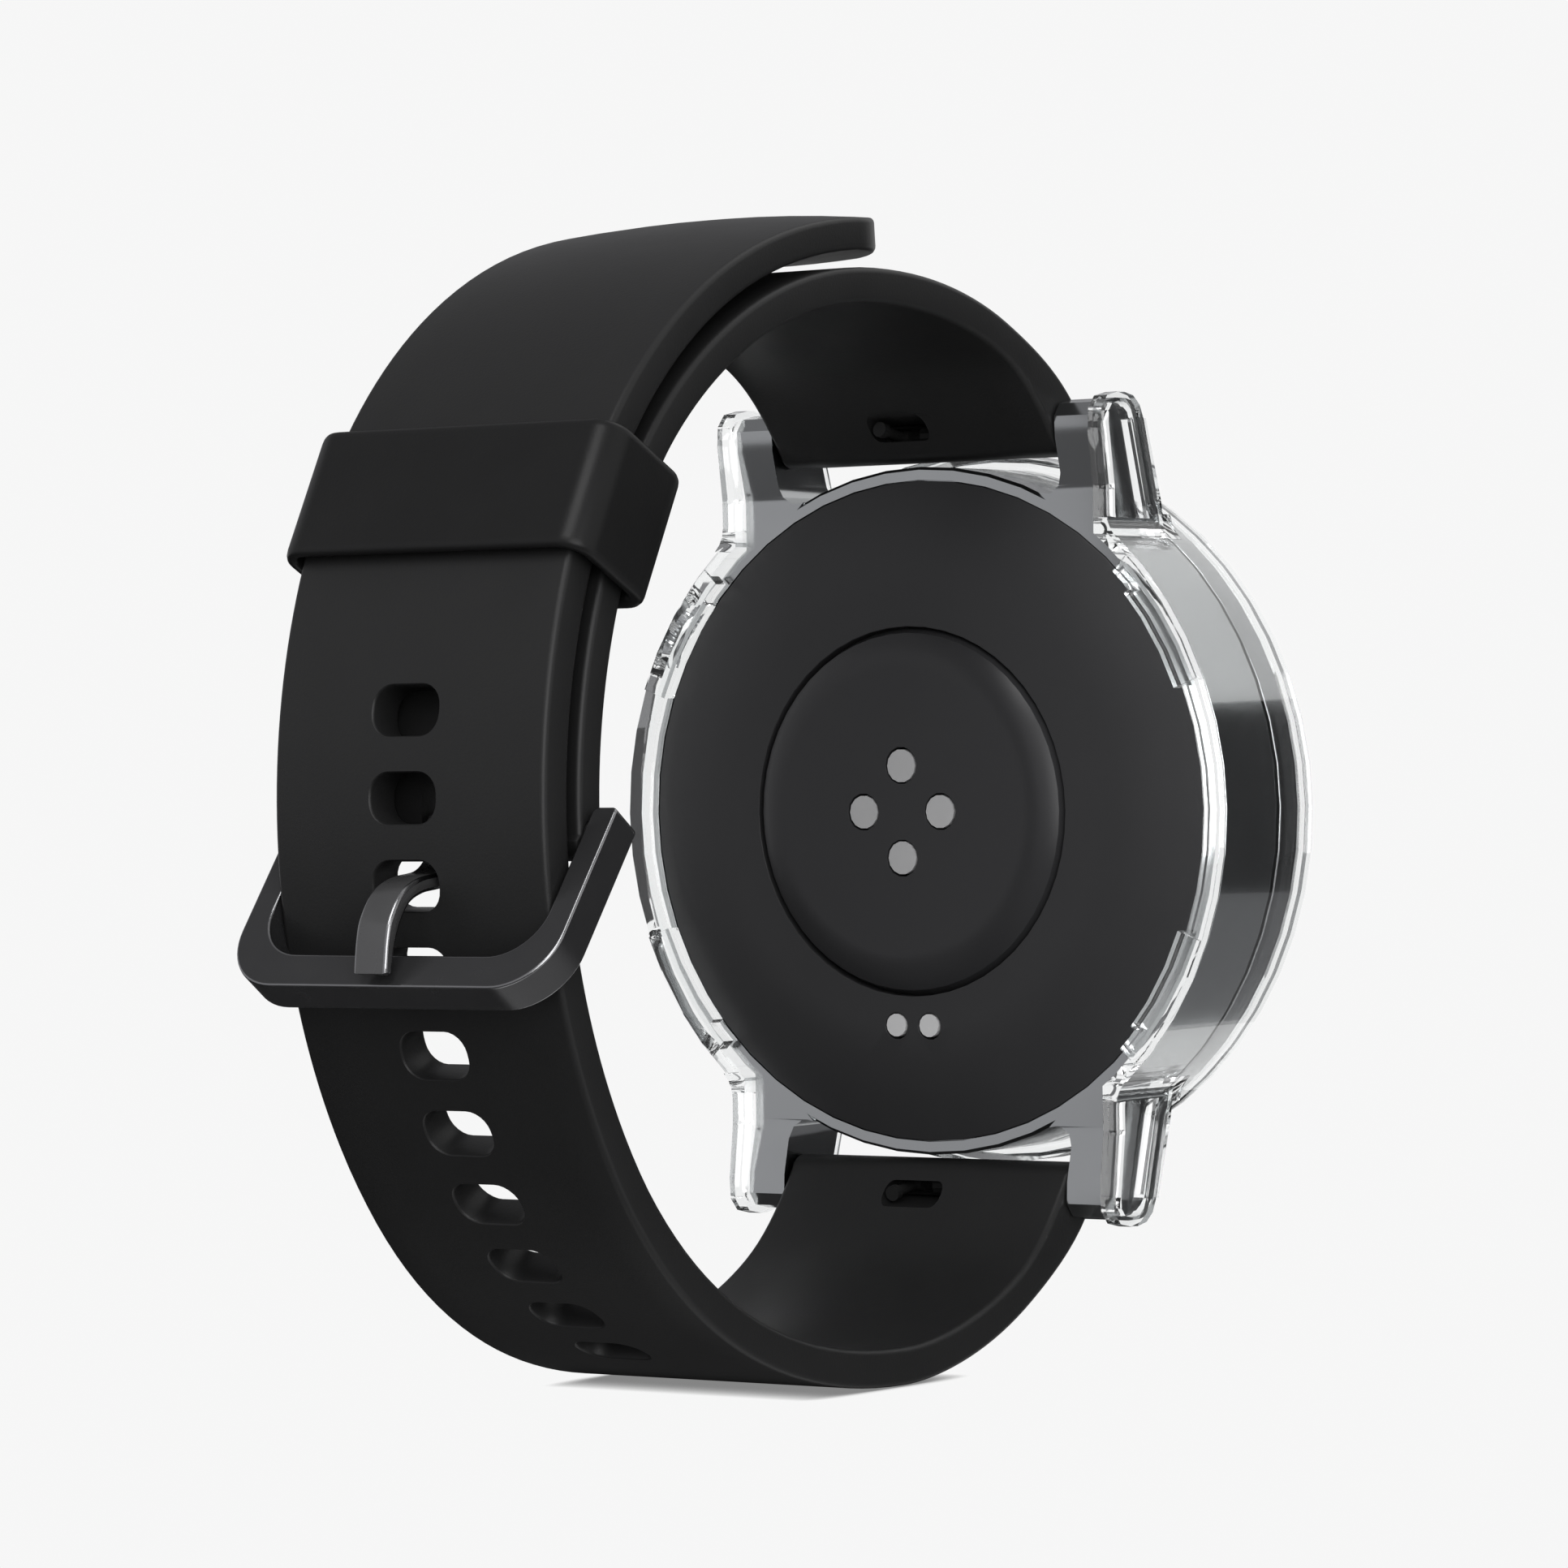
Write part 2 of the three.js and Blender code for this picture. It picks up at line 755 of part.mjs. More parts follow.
// Knurled crown wheel with a blind bore for its stem and a pocket for its cap
function makeCrownWheel() {
  const matrix = crownPlace;
  const points = [];
  const count = crown.teeth * toothPoints;
  for (let i = 0; i < count; i += 1) {
    const angle = (i / count) * Math.PI * 2;
    const onTop = i % toothPoints < toothPoints / 2;
    const radius = crown.radius - (onTop ? 0 : crown.toothDepth);
    points.push([radius * Math.cos(angle), radius * Math.sin(angle)]);
  }
  const knurl = prism(polygon(points), crownBase + crown.edge, crownTop - crown.edge, matrix);
  const core = rod(crown.radius - crown.toothDepth * 2, crownBase, crownTop, matrix, innerFacets / 2);
  const bore = rod(
    crown.stemRadius + runningGap,
    crownBase - overrun,
    crownBase + crown.stemReach + seatGap,
    matrix,
  );
  const pocketFloor = crownTop + crown.capProud - crown.capThickness;
  const pocket = rod(crown.capRadius + runningGap, pocketFloor, crownTop + overrun, matrix, innerFacets / 2);
  return joined(knurl, core).subtract(bore).subtract(pocket);
}

function makeCrownCap() {
  const matrix = crownPlace;
  const top = crownTop + crown.capProud;
  const base = top - crown.capThickness + runningGap;
  const plate = rod(crown.capRadius, base, top - crown.capEdge, matrix, innerFacets / 2);
  return plate.add(rod(crown.capRadius - crown.capEdge, base, top, matrix, innerFacets / 2));
}

// A stem with a groove near its inner end, and the ring that snaps into the groove
function makeStem(radius, from, to, matrix) {
  const grooveStart = from + retainer.offset;
  const grooveEnd = grooveStart + retainer.thickness + runningGap * 2;
  const inner = rod(radius, from, grooveStart, matrix);
  const neck = rod(radius * retainer.neckShare, from, to, matrix);
  const outer = rod(radius, grooveEnd, to, matrix);
  return joined(inner, neck, outer);
}

function makeRetainer(radius, from, matrix) {
  const start = from + retainer.offset + runningGap;
  const end = start + retainer.thickness;
  const neck = radius * retainer.neckShare + runningGap;
  const mouth = roundedRectangle(radius * 4, neck, 0, radius * 2);
  return rod(radius + retainer.width, start, end, matrix)
    .subtract(rod(neck, start - overrun, end + overrun, matrix))
    .subtract(prism(mouth, start - overrun, end + overrun, matrix));
}

function makeButton() {
  const matrix = buttonPlace;
  const top = buttonBase + button.height;
  const head = (inset, to) => {
    const shape = roundedRectangle(
      button.width - inset * 2,
      button.length - inset * 2,
      button.width / 2 - inset,
    );
    return prism(shape, buttonBase, to, matrix);
  };
  const stem = makeStem(button.stemRadius, buttonStemStart, buttonBase + button.edge, matrix);
  return joined(head(0, top - button.edge), head(button.edge, top), stem);
}

// Part of the bumper's rear lip, which reaches in over the housing's rim
function makeLip(angleA, angleB, reach, proud) {
  const rearY = bumper.rearProud + proud;
  const lip = ring(bumperInner - reach, bumperOuter - bumper.edge, bumper.rearProud - bumper.lipThickness, rearY);
  return lip.intersect(sector(Math.min(angleA, angleB), Math.max(angleA, angleB), -rearY, rearY * 2));
}

// Frame round one lug: a side wall, a wall in front, and a raised plate with a round top and a window
function makeLugFrame() {
  const b = bumper;
  const inFront = b.gap + b.frontWall;
  const rearTipY = lug.rearRise + b.rearRise;
  const ringTipY = lugFrontTipY + b.ringFrontRise;
  const ringMidY = lugFrontMidY + b.ringFrontMidRise;
  const shell = [
    [b.rearProud, lugRootZ, 0],
    [b.rearProud, lugBendZ, lug.bendRound],
    [rearTipY, lugTipZ, lug.tipRound],
    [lugFrontTipY - inFront, lugTipZ, 0],
    [lugFrontMidY - inFront, lugFrontMidZ, lug.bendRound],
    [-housing.depth - inFront, lugFrontRootZ, 0],
    [-housing.depth - inFront, lugRootZ, 0],
  ];
  const plate = [
    [b.rearProud, lugRootZ, 0],
    [b.rearProud, lugBendZ, lug.bendRound],
    [rearTipY, lugTipZ + b.tipRise, b.ringRound],
    [ringTipY, lugTipZ + b.tipRise, b.ringRound],
    [ringMidY, lugFrontMidZ, 0],
    [-housing.depth - inFront, lugFrontRootZ, 0],
    [-housing.depth - inFront, lugRootZ, 0],
  ];
  const rootZ = lugBendZ - b.windowRootBack;
  const hollow = [
    [b.rearProud - b.windowMargin, rootZ, 0],
    [b.rearProud - b.windowMargin, lugBendZ, lug.bendRound],
    [rearTipY - b.windowMargin, lugTipZ - b.windowTipBack, b.windowRound],
    [ringTipY + b.windowMargin, lugTipZ - b.windowTipBack, b.windowRound],
    [ringMidY + b.windowMargin, rootZ, 0],
  ];
  const room = polygon(roundedOutline(offsetOutline(lugSide, b.gap)));
  const shellSide = polygon(roundedOutline(shell));
  const kink = cornerFill(bumperOuter, plateOuter, b.kinkRadius, 1, b.plateWall / 2);
  const kinkEnd = plateOuter + b.kinkRadius;
  const rearY = springBar.y * 2;
  const rearCut = block([plateInner * 2, lugTipZ, lugTipZ * 3], [0, rearY + lugTipZ / 2, 0]);
  const tipCut = block([plateOuter * 3, lugTipZ, lugTipZ], [0, 0, lugTipZ * 3 / 2 - b.frontWallBack]);
  const walls = prism(shellSide, lug.innerFace, sideOuter, alongX())
    .subtract(rearCut)
    .subtract(tipCut);
  const frame = joined(
    walls,
    prism(polygon(roundedOutline(plate)), plateInner, plateOuter, alongX()),
    prism(shellSide, plateInner, kinkEnd, alongX()).intersect(kink),
  );
  const cuts = [
    prism(room, lug.innerFace - overrun, plateInner, alongX()),
    prism(polygon(roundedOutline(hollow)), lug.outerFace, plateOuter + overrun, alongX()),
    disc(bumperInner, -housing.depth * 2, housing.depth),
  ];
  return cuts.reduce((left, cut) => left.subtract(cut), frame);
}

function makeBumper() {
  const b = bumper;
  const frontY = bezelFrontY - b.rimProud;
  const wall = revolved([
    [bumperInner, b.rearProud],
    [bumperInner, bezelFrontY + bezel.chamfer],
    [bumperInner - bezel.chamfer, bezelFrontY - b.gap],
    [bumperInner - b.rimReach, bezelFrontY - b.gap],
    [bumperInner - b.rimReach, frontY + b.edge],
    [bumperInner - b.rimReach + b.edge, frontY],
    [bumperOuter - b.edge * 2, frontY],
    [bumperOuter, frontY + b.edge * 2],
    [bumperOuter, b.rearProud - b.edge],
    [bumperOuter - b.edge, b.rearProud],
  ]);
  const openY = bezelRearY + b.gap;
  const strapGap = block(
    [plateInner * 2, housing.radius, bumperOuter * 3],
    [0, openY + housing.radius / 2, 0],
  );
  const lips = [0, oppositeDegrees].flatMap((middle) => [
    makeLip(middle - b.lipEndDegrees, middle + b.lipEndDegrees, b.lipReach, 0),
    ...[-1, 1].flatMap((side) => {
      const [start, end] = [middle + side * b.clipStartDegrees, middle + side * b.clipEndDegrees];
      return [
        makeLip(start, end, b.clipReach, b.clipProud),
        makeLip(end, middle + side * b.lipEndDegrees, b.blockReach, b.clipProud),
      ];
    }),
  ]);
  const crownWindow = rod(
    crown.radius + b.crownClearance,
    housing.radius - overrun,
    bumperOuter + overrun,
    crownPlace,
    innerFacets / 2,
  );
  const buttonWindow = prism(
    roundedRectangle(
      button.width + b.buttonClearance * 2,
      button.length + b.buttonClearance * 2,
      button.width / 2 + b.buttonClearance,
    ),
    housing.radius - overrun,
    bumperOuter + overrun,
    buttonPlace,
  );
  return joined(wall.subtract(strapGap), ...inAllQuarters(makeLugFrame()), ...lips)
    .subtract(crownWindow)
    .subtract(buttonWindow);
}

// The direction in which a quick-release knob stands out from its spring bar
function leanDirection(side) {
  const lean = radians(release.leanDegrees);
  return [Math.cos(lean), side * Math.sin(lean)];
}
function leanPlace(side) {
  return alongDirection(...leanDirection(side), springBar.y, side * springBarZ);
}
const pinEnd = lug.innerFace + springBar.tipReach;
const pinStart = release.knobX - release.postRadius * 2;

function makeSpringBar(side) {
  const matrix = alongX(0, springBar.y, side * springBarZ);
  const halfLength = lug.innerFace - springBar.endGap;
  const tube = rod(springBar.radius, -halfLength, halfLength, matrix);
  const tip = rod(springBar.tipRadius, -pinEnd, 0, matrix);
  const boreStart = pinStart - release.travel - release.springRoom;
  const bore = rod(springBar.boreRadius, boreStart, halfLength + overrun, matrix);
  const slotRadius = release.postRadius + runningGap;
  const slot = roundedRectangle(
    release.travel + slotRadius * 2,
    slotRadius * 2,
    0,
    release.knobX - release.travel / 2,
  );
  return tube
    .add(tip)
    .subtract(bore)
    .subtract(prism(slot, 0, springBar.radius * 2, leanPlace(side)));
}

function makeReleasePin(side) {
  const spot = new THREE.Matrix4().makeTranslation(release.knobX, 0, 0).multiply(leanPlace(side));
  const pin = rod(springBar.tipRadius, pinStart, pinEnd, alongX(0, springBar.y, side * springBarZ));
  const post = rod(release.postRadius, 0, release.headTop - release.headHeight / 2, spot);
  const head = rod(release.headRadius, release.headTop - release.headHeight, release.headTop, spot);
  return joined(pin, post, head);
}

// The strap's middle line, as stations with a position and a direction outwards from the wrist
function arcStations(radius, fromDegrees, toDegrees) {
  const steps = Math.ceil(Math.abs(toDegrees - fromDegrees) / strap.arcStepDegrees);
  return Array.from({ length: steps + 1 }, (_, i) => {
    const angle = radians(fromDegrees + ((toDegrees - fromDegrees) * i) / steps);
    const outwards = new THREE.Vector2(Math.cos(angle), Math.sin(angle));
    return { at: outwards.clone().multiplyScalar(radius).add(new THREE.Vector2(loop.y, loop.z)), outwards };
  });
}

function curveStations(start, startHeading, end, endHeading, startShare, endShare, side) {
  const chord = start.distanceTo(end);
  const curve = new THREE.CubicBezierCurve(
    start,
    start.clone().addScaledVector(startHeading, chord * startShare),
    end.clone().addScaledVector(endHeading, -chord * endShare),
    end,
  );
  return Array.from({ length: strap.bendSteps }, (_, i) => {
    const share = (i + 1) / strap.bendSteps;
    const heading = curve.getTangent(share);
    return { at: curve.getPoint(share), outwards: new THREE.Vector2(heading.y, -heading.x).multiplyScalar(side) };
  });
}

function bendStations(radius, bend, shares, side) {
  const [startDegrees, endAngle] = [side * bend.degrees, radians(bend.headingDegrees)];
  const start = arcStations(radius, startDegrees, startDegrees + side).at(0);
  const startHeading = new THREE.Vector2(-start.outwards.y, start.outwards.x).multiplyScalar(side);
  const crest = new THREE.Vector2(bend.crestY, side * (springBarZ + bend.crestRise));
  const crestHeading = new THREE.Vector2(-1, 0);
  const bar = new THREE.Vector2(springBar.y, side * springBarZ);
  const barHeading = new THREE.Vector2(Math.cos(endAngle), side * Math.sin(endAngle));
  return {
    rise: curveStations(start.at, startHeading, crest, crestHeading, shares[0], shares[1], side),
    fall: curveStations(crest, crestHeading, bar, barHeading, shares[2], shares[3], side),
  };
}

// One cross-section of the strap, with its edges broken
function strapSection({ at, outwards }, width, thickness, crown) {
  const [half, edge] = [width / 2, Math.min(strap.edge, thickness / 4)];
  const bulge = crown ? crown * (1 - (width / strap.endWidth) ** 2) : 0;
  const high = thickness / 2 + bulge;
  const corners = [
    [half - edge, -high],
    [half, edge - high],
    [half, high - edge],
    [half - edge, high],
  ];
  const middle = crown === undefined ? [] : [[0, thickness / 2 + crown]];
  const far = corners.map(([x, n]) => [-x, n]).reverse();
  const all = [...corners, ...middle, ...far, ...middle.map(([x, n]) => [x, -n])];
  return all.map(([x, n]) => new THREE.Vector3(x, at.x + outwards.x * n, at.y + outwards.y * n));
}

function taperedWidth(y) {
  const share = THREE.MathUtils.clamp((y - strap.taperStartY) / (strap.taperEndY - strap.taperStartY), 0, 1);
  return THREE.MathUtils.lerp(lugWidth, strap.endWidth, share);
}

// Thickness at a length from the spring bar
function flaredThickness(length, thickness) {
  const share = THREE.MathUtils.smoothstep(length, 0, strap.flareLength);
  return THREE.MathUtils.lerp(strap.barrelRadius * 2, thickness, share);
}

// Sections from the spring bar along the strap
function strapSections(stations, thickness, widthAt, crown) {
  let length = 0;
  return stations.map((station, i) => {
    if (i) length += station.at.distanceTo(stations[i - 1].at);
    return strapSection(station, widthAt(station), flaredThickness(length, thickness), crown);
  });
}

function withBarrel(solid, side) {
  const [half, matrix] = [lugWidth / 2, alongX(0, springBar.y, side * springBarZ)];
  const opening = roundedRectangle(recess.width, recess.height, recess.round, recessX);
  return solid
    .add(rod(strap.barrelRadius, -half, half, matrix, rodFacets + cornerSteps))
    .subtract(rod(springBar.radius + runningGap, -half - overrun, half + overrun, matrix))
    .subtract(prism(opening, 0, release.headTop + overrun, leanPlace(side)));
}

const pinAt = arcStations(loop.radius - buckleHalf.pinInset, buckleHalf.pinDegrees, 0)[0].at;
const upper = bendStations(loop.radius, upperBend, upperHandleShares, 1);
const lower = bendStations(outerLayerRadius, lowerBend, lowerHandleShares, -1);

function makeBuckleHalf() {
  const arc = arcStations(loop.radius, buckleHalf.pinDegrees, upperBend.degrees);
  const stations = [...arc, ...upper.rise, ...upper.fall].reverse();
  const band = lofted(strapSections(stations, buckleHalf.thickness, ({ at }) => taperedWidth(at.x)));
  const [half, matrix] = [strap.endWidth / 2, alongX(0, pinAt.x, pinAt.y)];
  const slot = block(
    [tongue.width + buckleHalf.slotGap * 2, buckleHalf.barrelRadius * 4, buckleHalf.slotReach * 2],
    [0, pinAt.x, pinAt.y],
  );
  return withBarrel(band, 1)
    .add(rod(buckleHalf.barrelRadius, -half, half, matrix, rodFacets + cornerSteps))
    .subtract(rod(buckle.pinRadius + runningGap, -half - overrun, half + overrun, matrix))
    .subtract(slot);
}

function makeHoleHalf() {
  const arc = arcStations(outerLayerRadius, -lowerBend.degrees, tail.degrees);
  const fromBar = [...lower.rise, ...lower.fall].reverse();
  const start = arc.at(-1);
  const startHeading = new THREE.Vector2(-start.outwards.y, start.outwards.x);
  const endAngle = radians(tail.headingDegrees);
  const free = curveStations(
    start.at,
    startHeading,
    new THREE.Vector2(tail.endY, springBarZ + upperBend.crestRise + tail.endRise),
    new THREE.Vector2(Math.cos(endAngle), Math.sin(endAngle)),
    ...tailHandleShares,
    1,
  );
  const stations = [...fromBar, ...arc];
  const widthAt = ({ at, outwards }) => (outwards.y > 0 ? strap.endWidth : taperedWidth(at.x));
  const sections = strapSections(stations, holeHalf.thickness, widthAt, 0);
  free.forEach((station, i) => {
    const share = (i + 1) / free.length;
    const thickness = THREE.MathUtils.lerp(holeHalf.thickness, holeHalf.tipThickness, share);
    sections.push(strapSection(station, strap.endWidth, thickness, holeHalf.tipCrown * share));
  });
  const end = free.at(-1);
  const tipAngle = radians(tail.tipDegrees);
  const ahead = new THREE.Vector2(Math.cos(tipAngle), Math.sin(tipAngle));
  const outwards = new THREE.Vector2(ahead.y, -ahead.x);
  for (let i = 1; i <= holeHalf.tipSteps; i += 1) {
    const angle = ((i / holeHalf.tipSteps) * Math.PI) / 2;
    const at = end.at.clone().addScaledVector(ahead, holeHalf.tipRound * Math.sin(angle));
    const width = strap.endWidth - holeHalf.tipRound * (1 - Math.cos(angle)) * 2;
    sections.push(strapSection({ at, outwards }, width, holeHalf.tipThickness, holeHalf.tipCrown));
  }
  const band = withBarrel(lofted(sections), -1);
  return holeStations().reduce((left, { at, outwards }) => {
    const matrix = alongDirection(outwards.x, outwards.y, at.x, at.y);
    const opening = roundedRectangle(hole.width, hole.height, hole.round, hole.sideShift);
    return left.subtract(prism(opening, -holeHalf.thickness, holeHalf.thickness, matrix));
  }, band);
}

// Holes: even steps along the outer layer, counted from the one that the tongue uses
function holeStations() {
  const perDegree = radians(1) * outerLayerRadius;
  const arcLength = (lowerBend.degrees + hole.tongueDegrees) * perDegree;
  const start = arcStations(outerLayerRadius, -lowerBend.degrees, 0)[0];
  const bend = [start, ...lower.rise, ...lower.fall];
  return Array.from({ length: hole.count }, (_, i) => {
    const length = (i - hole.tongueIndex) * hole.pitch;
    if (length <= arcLength) return arcStations(outerLayerRadius, hole.tongueDegrees - length / perDegree, 0)[0];
    return stationAlong(bend, length - arcLength);
  });
}

function stationAlong(stations, length) {
  let left = length;
  for (let i = 1; i < stations.length; i += 1) {
    const [before, after] = [stations[i - 1], stations[i]];
    const step = before.at.distanceTo(after.at);
    if (left <= step) {
      const share = left / step;
      return {
        at: before.at.clone().lerp(after.at, share),
        outwards: before.outwards.clone().lerp(after.outwards, share).normalize(),
      };
    }
    left -= step;
  }
  return stations.at(-1);
}

// Buckle frame and tongue are drawn in the frame's own plane, with the pin at its origin
const frameDirection = new THREE.Vector3(0, Math.cos(radians(buckle.degrees)), Math.sin(radians(buckle.degrees)));
const frameNormal = new THREE.Vector3().crossVectors(axisX, frameDirection);
const pinPoint = new THREE.Vector3(0, pinAt.x, pinAt.y);

function makeBuckleFrame() {
  const [outer, inner] = [buckleOuter, buckleInner];
  const barStart = buckle.reach - buckle.barWidth;
  const shape = polygon(
    roundedOutline([
      [-outer, -buckle.armEnd, buckle.armRound],
      [-inner, -buckle.armEnd, buckle.armRound],
      [-inner, barStart, buckle.innerRound],
      [inner, barStart, buckle.innerRound],
      [inner, -buckle.armEnd, buckle.armRound],
      [outer, -buckle.armEnd, buckle.armRound],
      [outer, buckle.reach, buckle.outerRound],
      [-outer, buckle.reach, buckle.outerRound],
    ]),
  );
  const geometry = new THREE.ExtrudeGeometry(shape, {
    depth: buckle.thickness - buckle.bevel * 2,
    bevelThickness: buckle.bevel,
    bevelSize: buckle.bevel,
    bevelOffset: -buckle.bevel,
    bevelSegments: 1,
  });
  geometry.translate(0, 0, buckle.bevel + buckle.frontHeight - buckle.thickness);
  geometry.applyMatrix4(place(axisX, frameDirection, frameNormal, pinPoint));
  const holeEnd = pinHalf + runningGap;
  const hole = rod(buckle.pinRadius + runningGap, -holeEnd, holeEnd, alongX(0, pinAt.x, pinAt.y));
  return solidFrom(geometry).subtract(hole);
}

function makeBucklePin() {
  return rod(buckle.pinRadius, -pinHalf, pinHalf, alongX(0, pinAt.x, pinAt.y));
}

function makeTongue() {
  const middle = tonguePathShares.map(([along, off]) => new THREE.Vector2(along, off).multiplyScalar(buckle.reach));
  const last = middle.length - 1;
  const sides = [1, -1].map((side) =>
    middle.map((point, i) => {
      const heading = middle[Math.min(i + 1, last)].clone().sub(middle[Math.max(i - 1, 0)]).normalize();
      const thickness = i === last ? tongue.tipThickness : tongue.thickness;
      return [point.x - (heading.y * side * thickness) / 2, point.y + (heading.x * side * thickness) / 2];
    }),
  );
  const matrix = place(frameDirection, frameNormal, axisX, pinPoint);
  const half = tongue.width / 2;
  return prism(polygon([...sides[0], ...sides[1].reverse()]), -half, half, matrix)
    .add(rod(tongue.eyeRadius, -half, half, matrix))
    .subtract(rod(buckle.pinRadius + runningGap, -half - overrun, half + overrun, matrix));
}

function makeKeeper() {
  const angle = radians(keeper.degrees);
  const outwards = new THREE.Vector3(0, Math.cos(angle), Math.sin(angle));
  const along = new THREE.Vector3().crossVectors(axisX, outwards);
  const matrix = place(axisX, outwards, along, new THREE.Vector3(0, loop.y, loop.z));
  const half = keeper.length / 2;
  const insideRadius = loop.radius - buckleHalf.thickness / 2 - keeper.innerGap;
  const from = Math.sqrt(insideRadius ** 2 - half ** 2);
  const to = outerLayerRadius + holeHalf.thickness / 2 + keeper.gap;
  const innerWidth = strap.endWidth + keeper.sideGap * 2;
  const outside = roundedRectangle(
    innerWidth + keeper.sideWall * 2,
    to - from + keeper.wall + keeper.innerWall,
    keeper.round,
    0,
    (from - keeper.innerWall + to + keeper.wall) / 2,
  );
  const inside = roundedRectangle(innerWidth, to - from, keeper.innerRound, 0, (from + to) / 2);
  return prism(outside, -half, half, matrix).subtract(prism(inside, -half * 2, half * 2, matrix));
}

// Finishes: colour, roughness and metalness
const finishes = {
  clear: ["#dfe6e8", 0.1, 0],
  metal: ["#6f7174", 0.4, 0.9],
  darkMetal: ["#3a3c3f", 0.35, 0.9],
  black: ["#111213", 0.5, 0],
  glassBlack: ["#0a0b0c", 0.15, 0],
  rubber: ["#1b1c1e", 0.8, 0],
  board: ["#1f4a36", 0.6, 0],
  cell: ["#9a9ca0", 0.5, 0.3],
  lens: ["#c9ccd0", 0.3, 0],
  paleMetal: ["#a8aaad", 0.35, 0.8],
};

const group = new THREE.Group();
function addPiece(name, solid, finish) {
  const [color, roughness, metalness] = finishes[finish];
  const material = new THREE.MeshStandardMaterial({ color, roughness, metalness });
  material.name = finish;
  const geometry = geometryFrom(solid);
  geometry.computeVertexNormals();
  const mesh = new THREE.Mesh(geometry, material);
  mesh.name = name;
  group.add(mesh);
}

addPiece("bumper_case", makeBumper(), "clear");
addPiece("watch_housing", makeHousing(), "metal");
addPiece("front_bezel", makeBezel(), "darkMetal");
addPiece("front_seal", makeSeal(), "rubber");
addPiece("display_glass", makeGlass(), "glassBlack");
addPiece("display_panel", disc(ledgeRadius - display.edgeGap, ledgeY, displayRearY, innerFacets), "glassBlack");
addPiece("inner_carrier", makeCarrier(), "black");
addPiece("battery", makeBattery(), "cell");
addPiece("haptic_motor", makeMotor(), "cell");
addPiece("main_board", makeBoard(), "board");
addPiece(
  "sensor_board",
  disc(openingRadius - sensorBoard.edgeGap, coverFrontY - sensorBoard.thickness, coverFrontY, innerFacets),
  "board",
);
addPiece("back_cover", makeCover(), "black");
addPiece("sensor_dome", makeDome(), "glassBlack");
for (const [side, spot] of Object.entries(lensPlaces)) {
  addPiece("sensor_window_" + side, rod(lens.radius, dome.top - lens.thickness, dome.top, lensPlace(spot)), "lens");
}
contactPlaces.forEach((matrix, i) => {
  const pin = rod(contact.radius, boardRearY + seatGap, contactTopY, matrix);
  addPiece("charging_contact_" + ["left", "right"][i], pin, "paleMetal");
});
addPiece(
  "crown_stem",
  makeStem(crown.stemRadius, crownStemStart, crownBase + crown.stemReach, crownPlace),
  "metal",
);
addPiece("crown_retainer", makeRetainer(crown.stemRadius, crownStemStart, crownPlace), "metal");
addPiece("crown_wheel", makeCrownWheel(), "metal");
addPiece("crown_cap", makeCrownCap(), "darkMetal");
addPiece("side_button", makeButton(), "metal");
addPiece("button_retainer", makeRetainer(button.stemRadius, buttonStemStart, buttonPlace), "metal");
for (const [name, side] of [["top", 1], ["bottom", -1]]) {
  addPiece("spring_bar_" + name, makeSpringBar(side), "metal");
  addPiece("release_pin_" + name, makeReleasePin(side), "metal");
}
addPiece("strap_buckle_half", makeBuckleHalf(), "rubber");
addPiece("strap_hole_half", makeHoleHalf(), "rubber");
addPiece("strap_keeper", makeKeeper(), "rubber");
addPiece("buckle_frame", makeBuckleFrame(), "darkMetal");
addPiece("buckle_pin", makeBucklePin(), "darkMetal");
addPiece("buckle_tongue", makeTongue(), "darkMetal");

// The part's own origin lies in the middle of the sensor dome's flat face
group.position.y = -dome.top;

export default group;
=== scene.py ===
"""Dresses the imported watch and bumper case: smooth pieces, node materials, studio light and camera.

Lengths are in millimetres until to_row() turns them into the frame's metres. Y is counted from the
housing's rear rim, as in the part's source, and the frame's origin lies on the sensor dome.
"""

import math

import bmesh
import bpy
from mathutils import Matrix, Vector


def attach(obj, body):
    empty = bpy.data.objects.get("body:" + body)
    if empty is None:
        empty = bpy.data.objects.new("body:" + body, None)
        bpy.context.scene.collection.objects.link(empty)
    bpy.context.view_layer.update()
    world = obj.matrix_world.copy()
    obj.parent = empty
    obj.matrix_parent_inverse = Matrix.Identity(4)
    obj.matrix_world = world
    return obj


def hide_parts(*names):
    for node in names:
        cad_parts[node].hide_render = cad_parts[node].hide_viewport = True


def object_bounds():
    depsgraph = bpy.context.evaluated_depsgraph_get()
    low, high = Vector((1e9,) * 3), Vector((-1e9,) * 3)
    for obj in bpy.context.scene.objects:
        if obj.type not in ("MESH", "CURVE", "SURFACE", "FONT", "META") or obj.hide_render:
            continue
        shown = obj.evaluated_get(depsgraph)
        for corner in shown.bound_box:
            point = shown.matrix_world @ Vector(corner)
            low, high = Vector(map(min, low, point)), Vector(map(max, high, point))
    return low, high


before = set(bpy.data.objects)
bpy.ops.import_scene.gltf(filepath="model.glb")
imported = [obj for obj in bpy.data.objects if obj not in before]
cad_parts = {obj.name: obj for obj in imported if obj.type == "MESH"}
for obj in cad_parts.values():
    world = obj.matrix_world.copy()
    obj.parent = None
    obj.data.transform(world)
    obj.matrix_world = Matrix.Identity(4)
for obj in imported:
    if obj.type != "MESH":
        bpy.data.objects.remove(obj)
cad_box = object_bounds()

MM = 0.001
DOME_TOP = 2.64

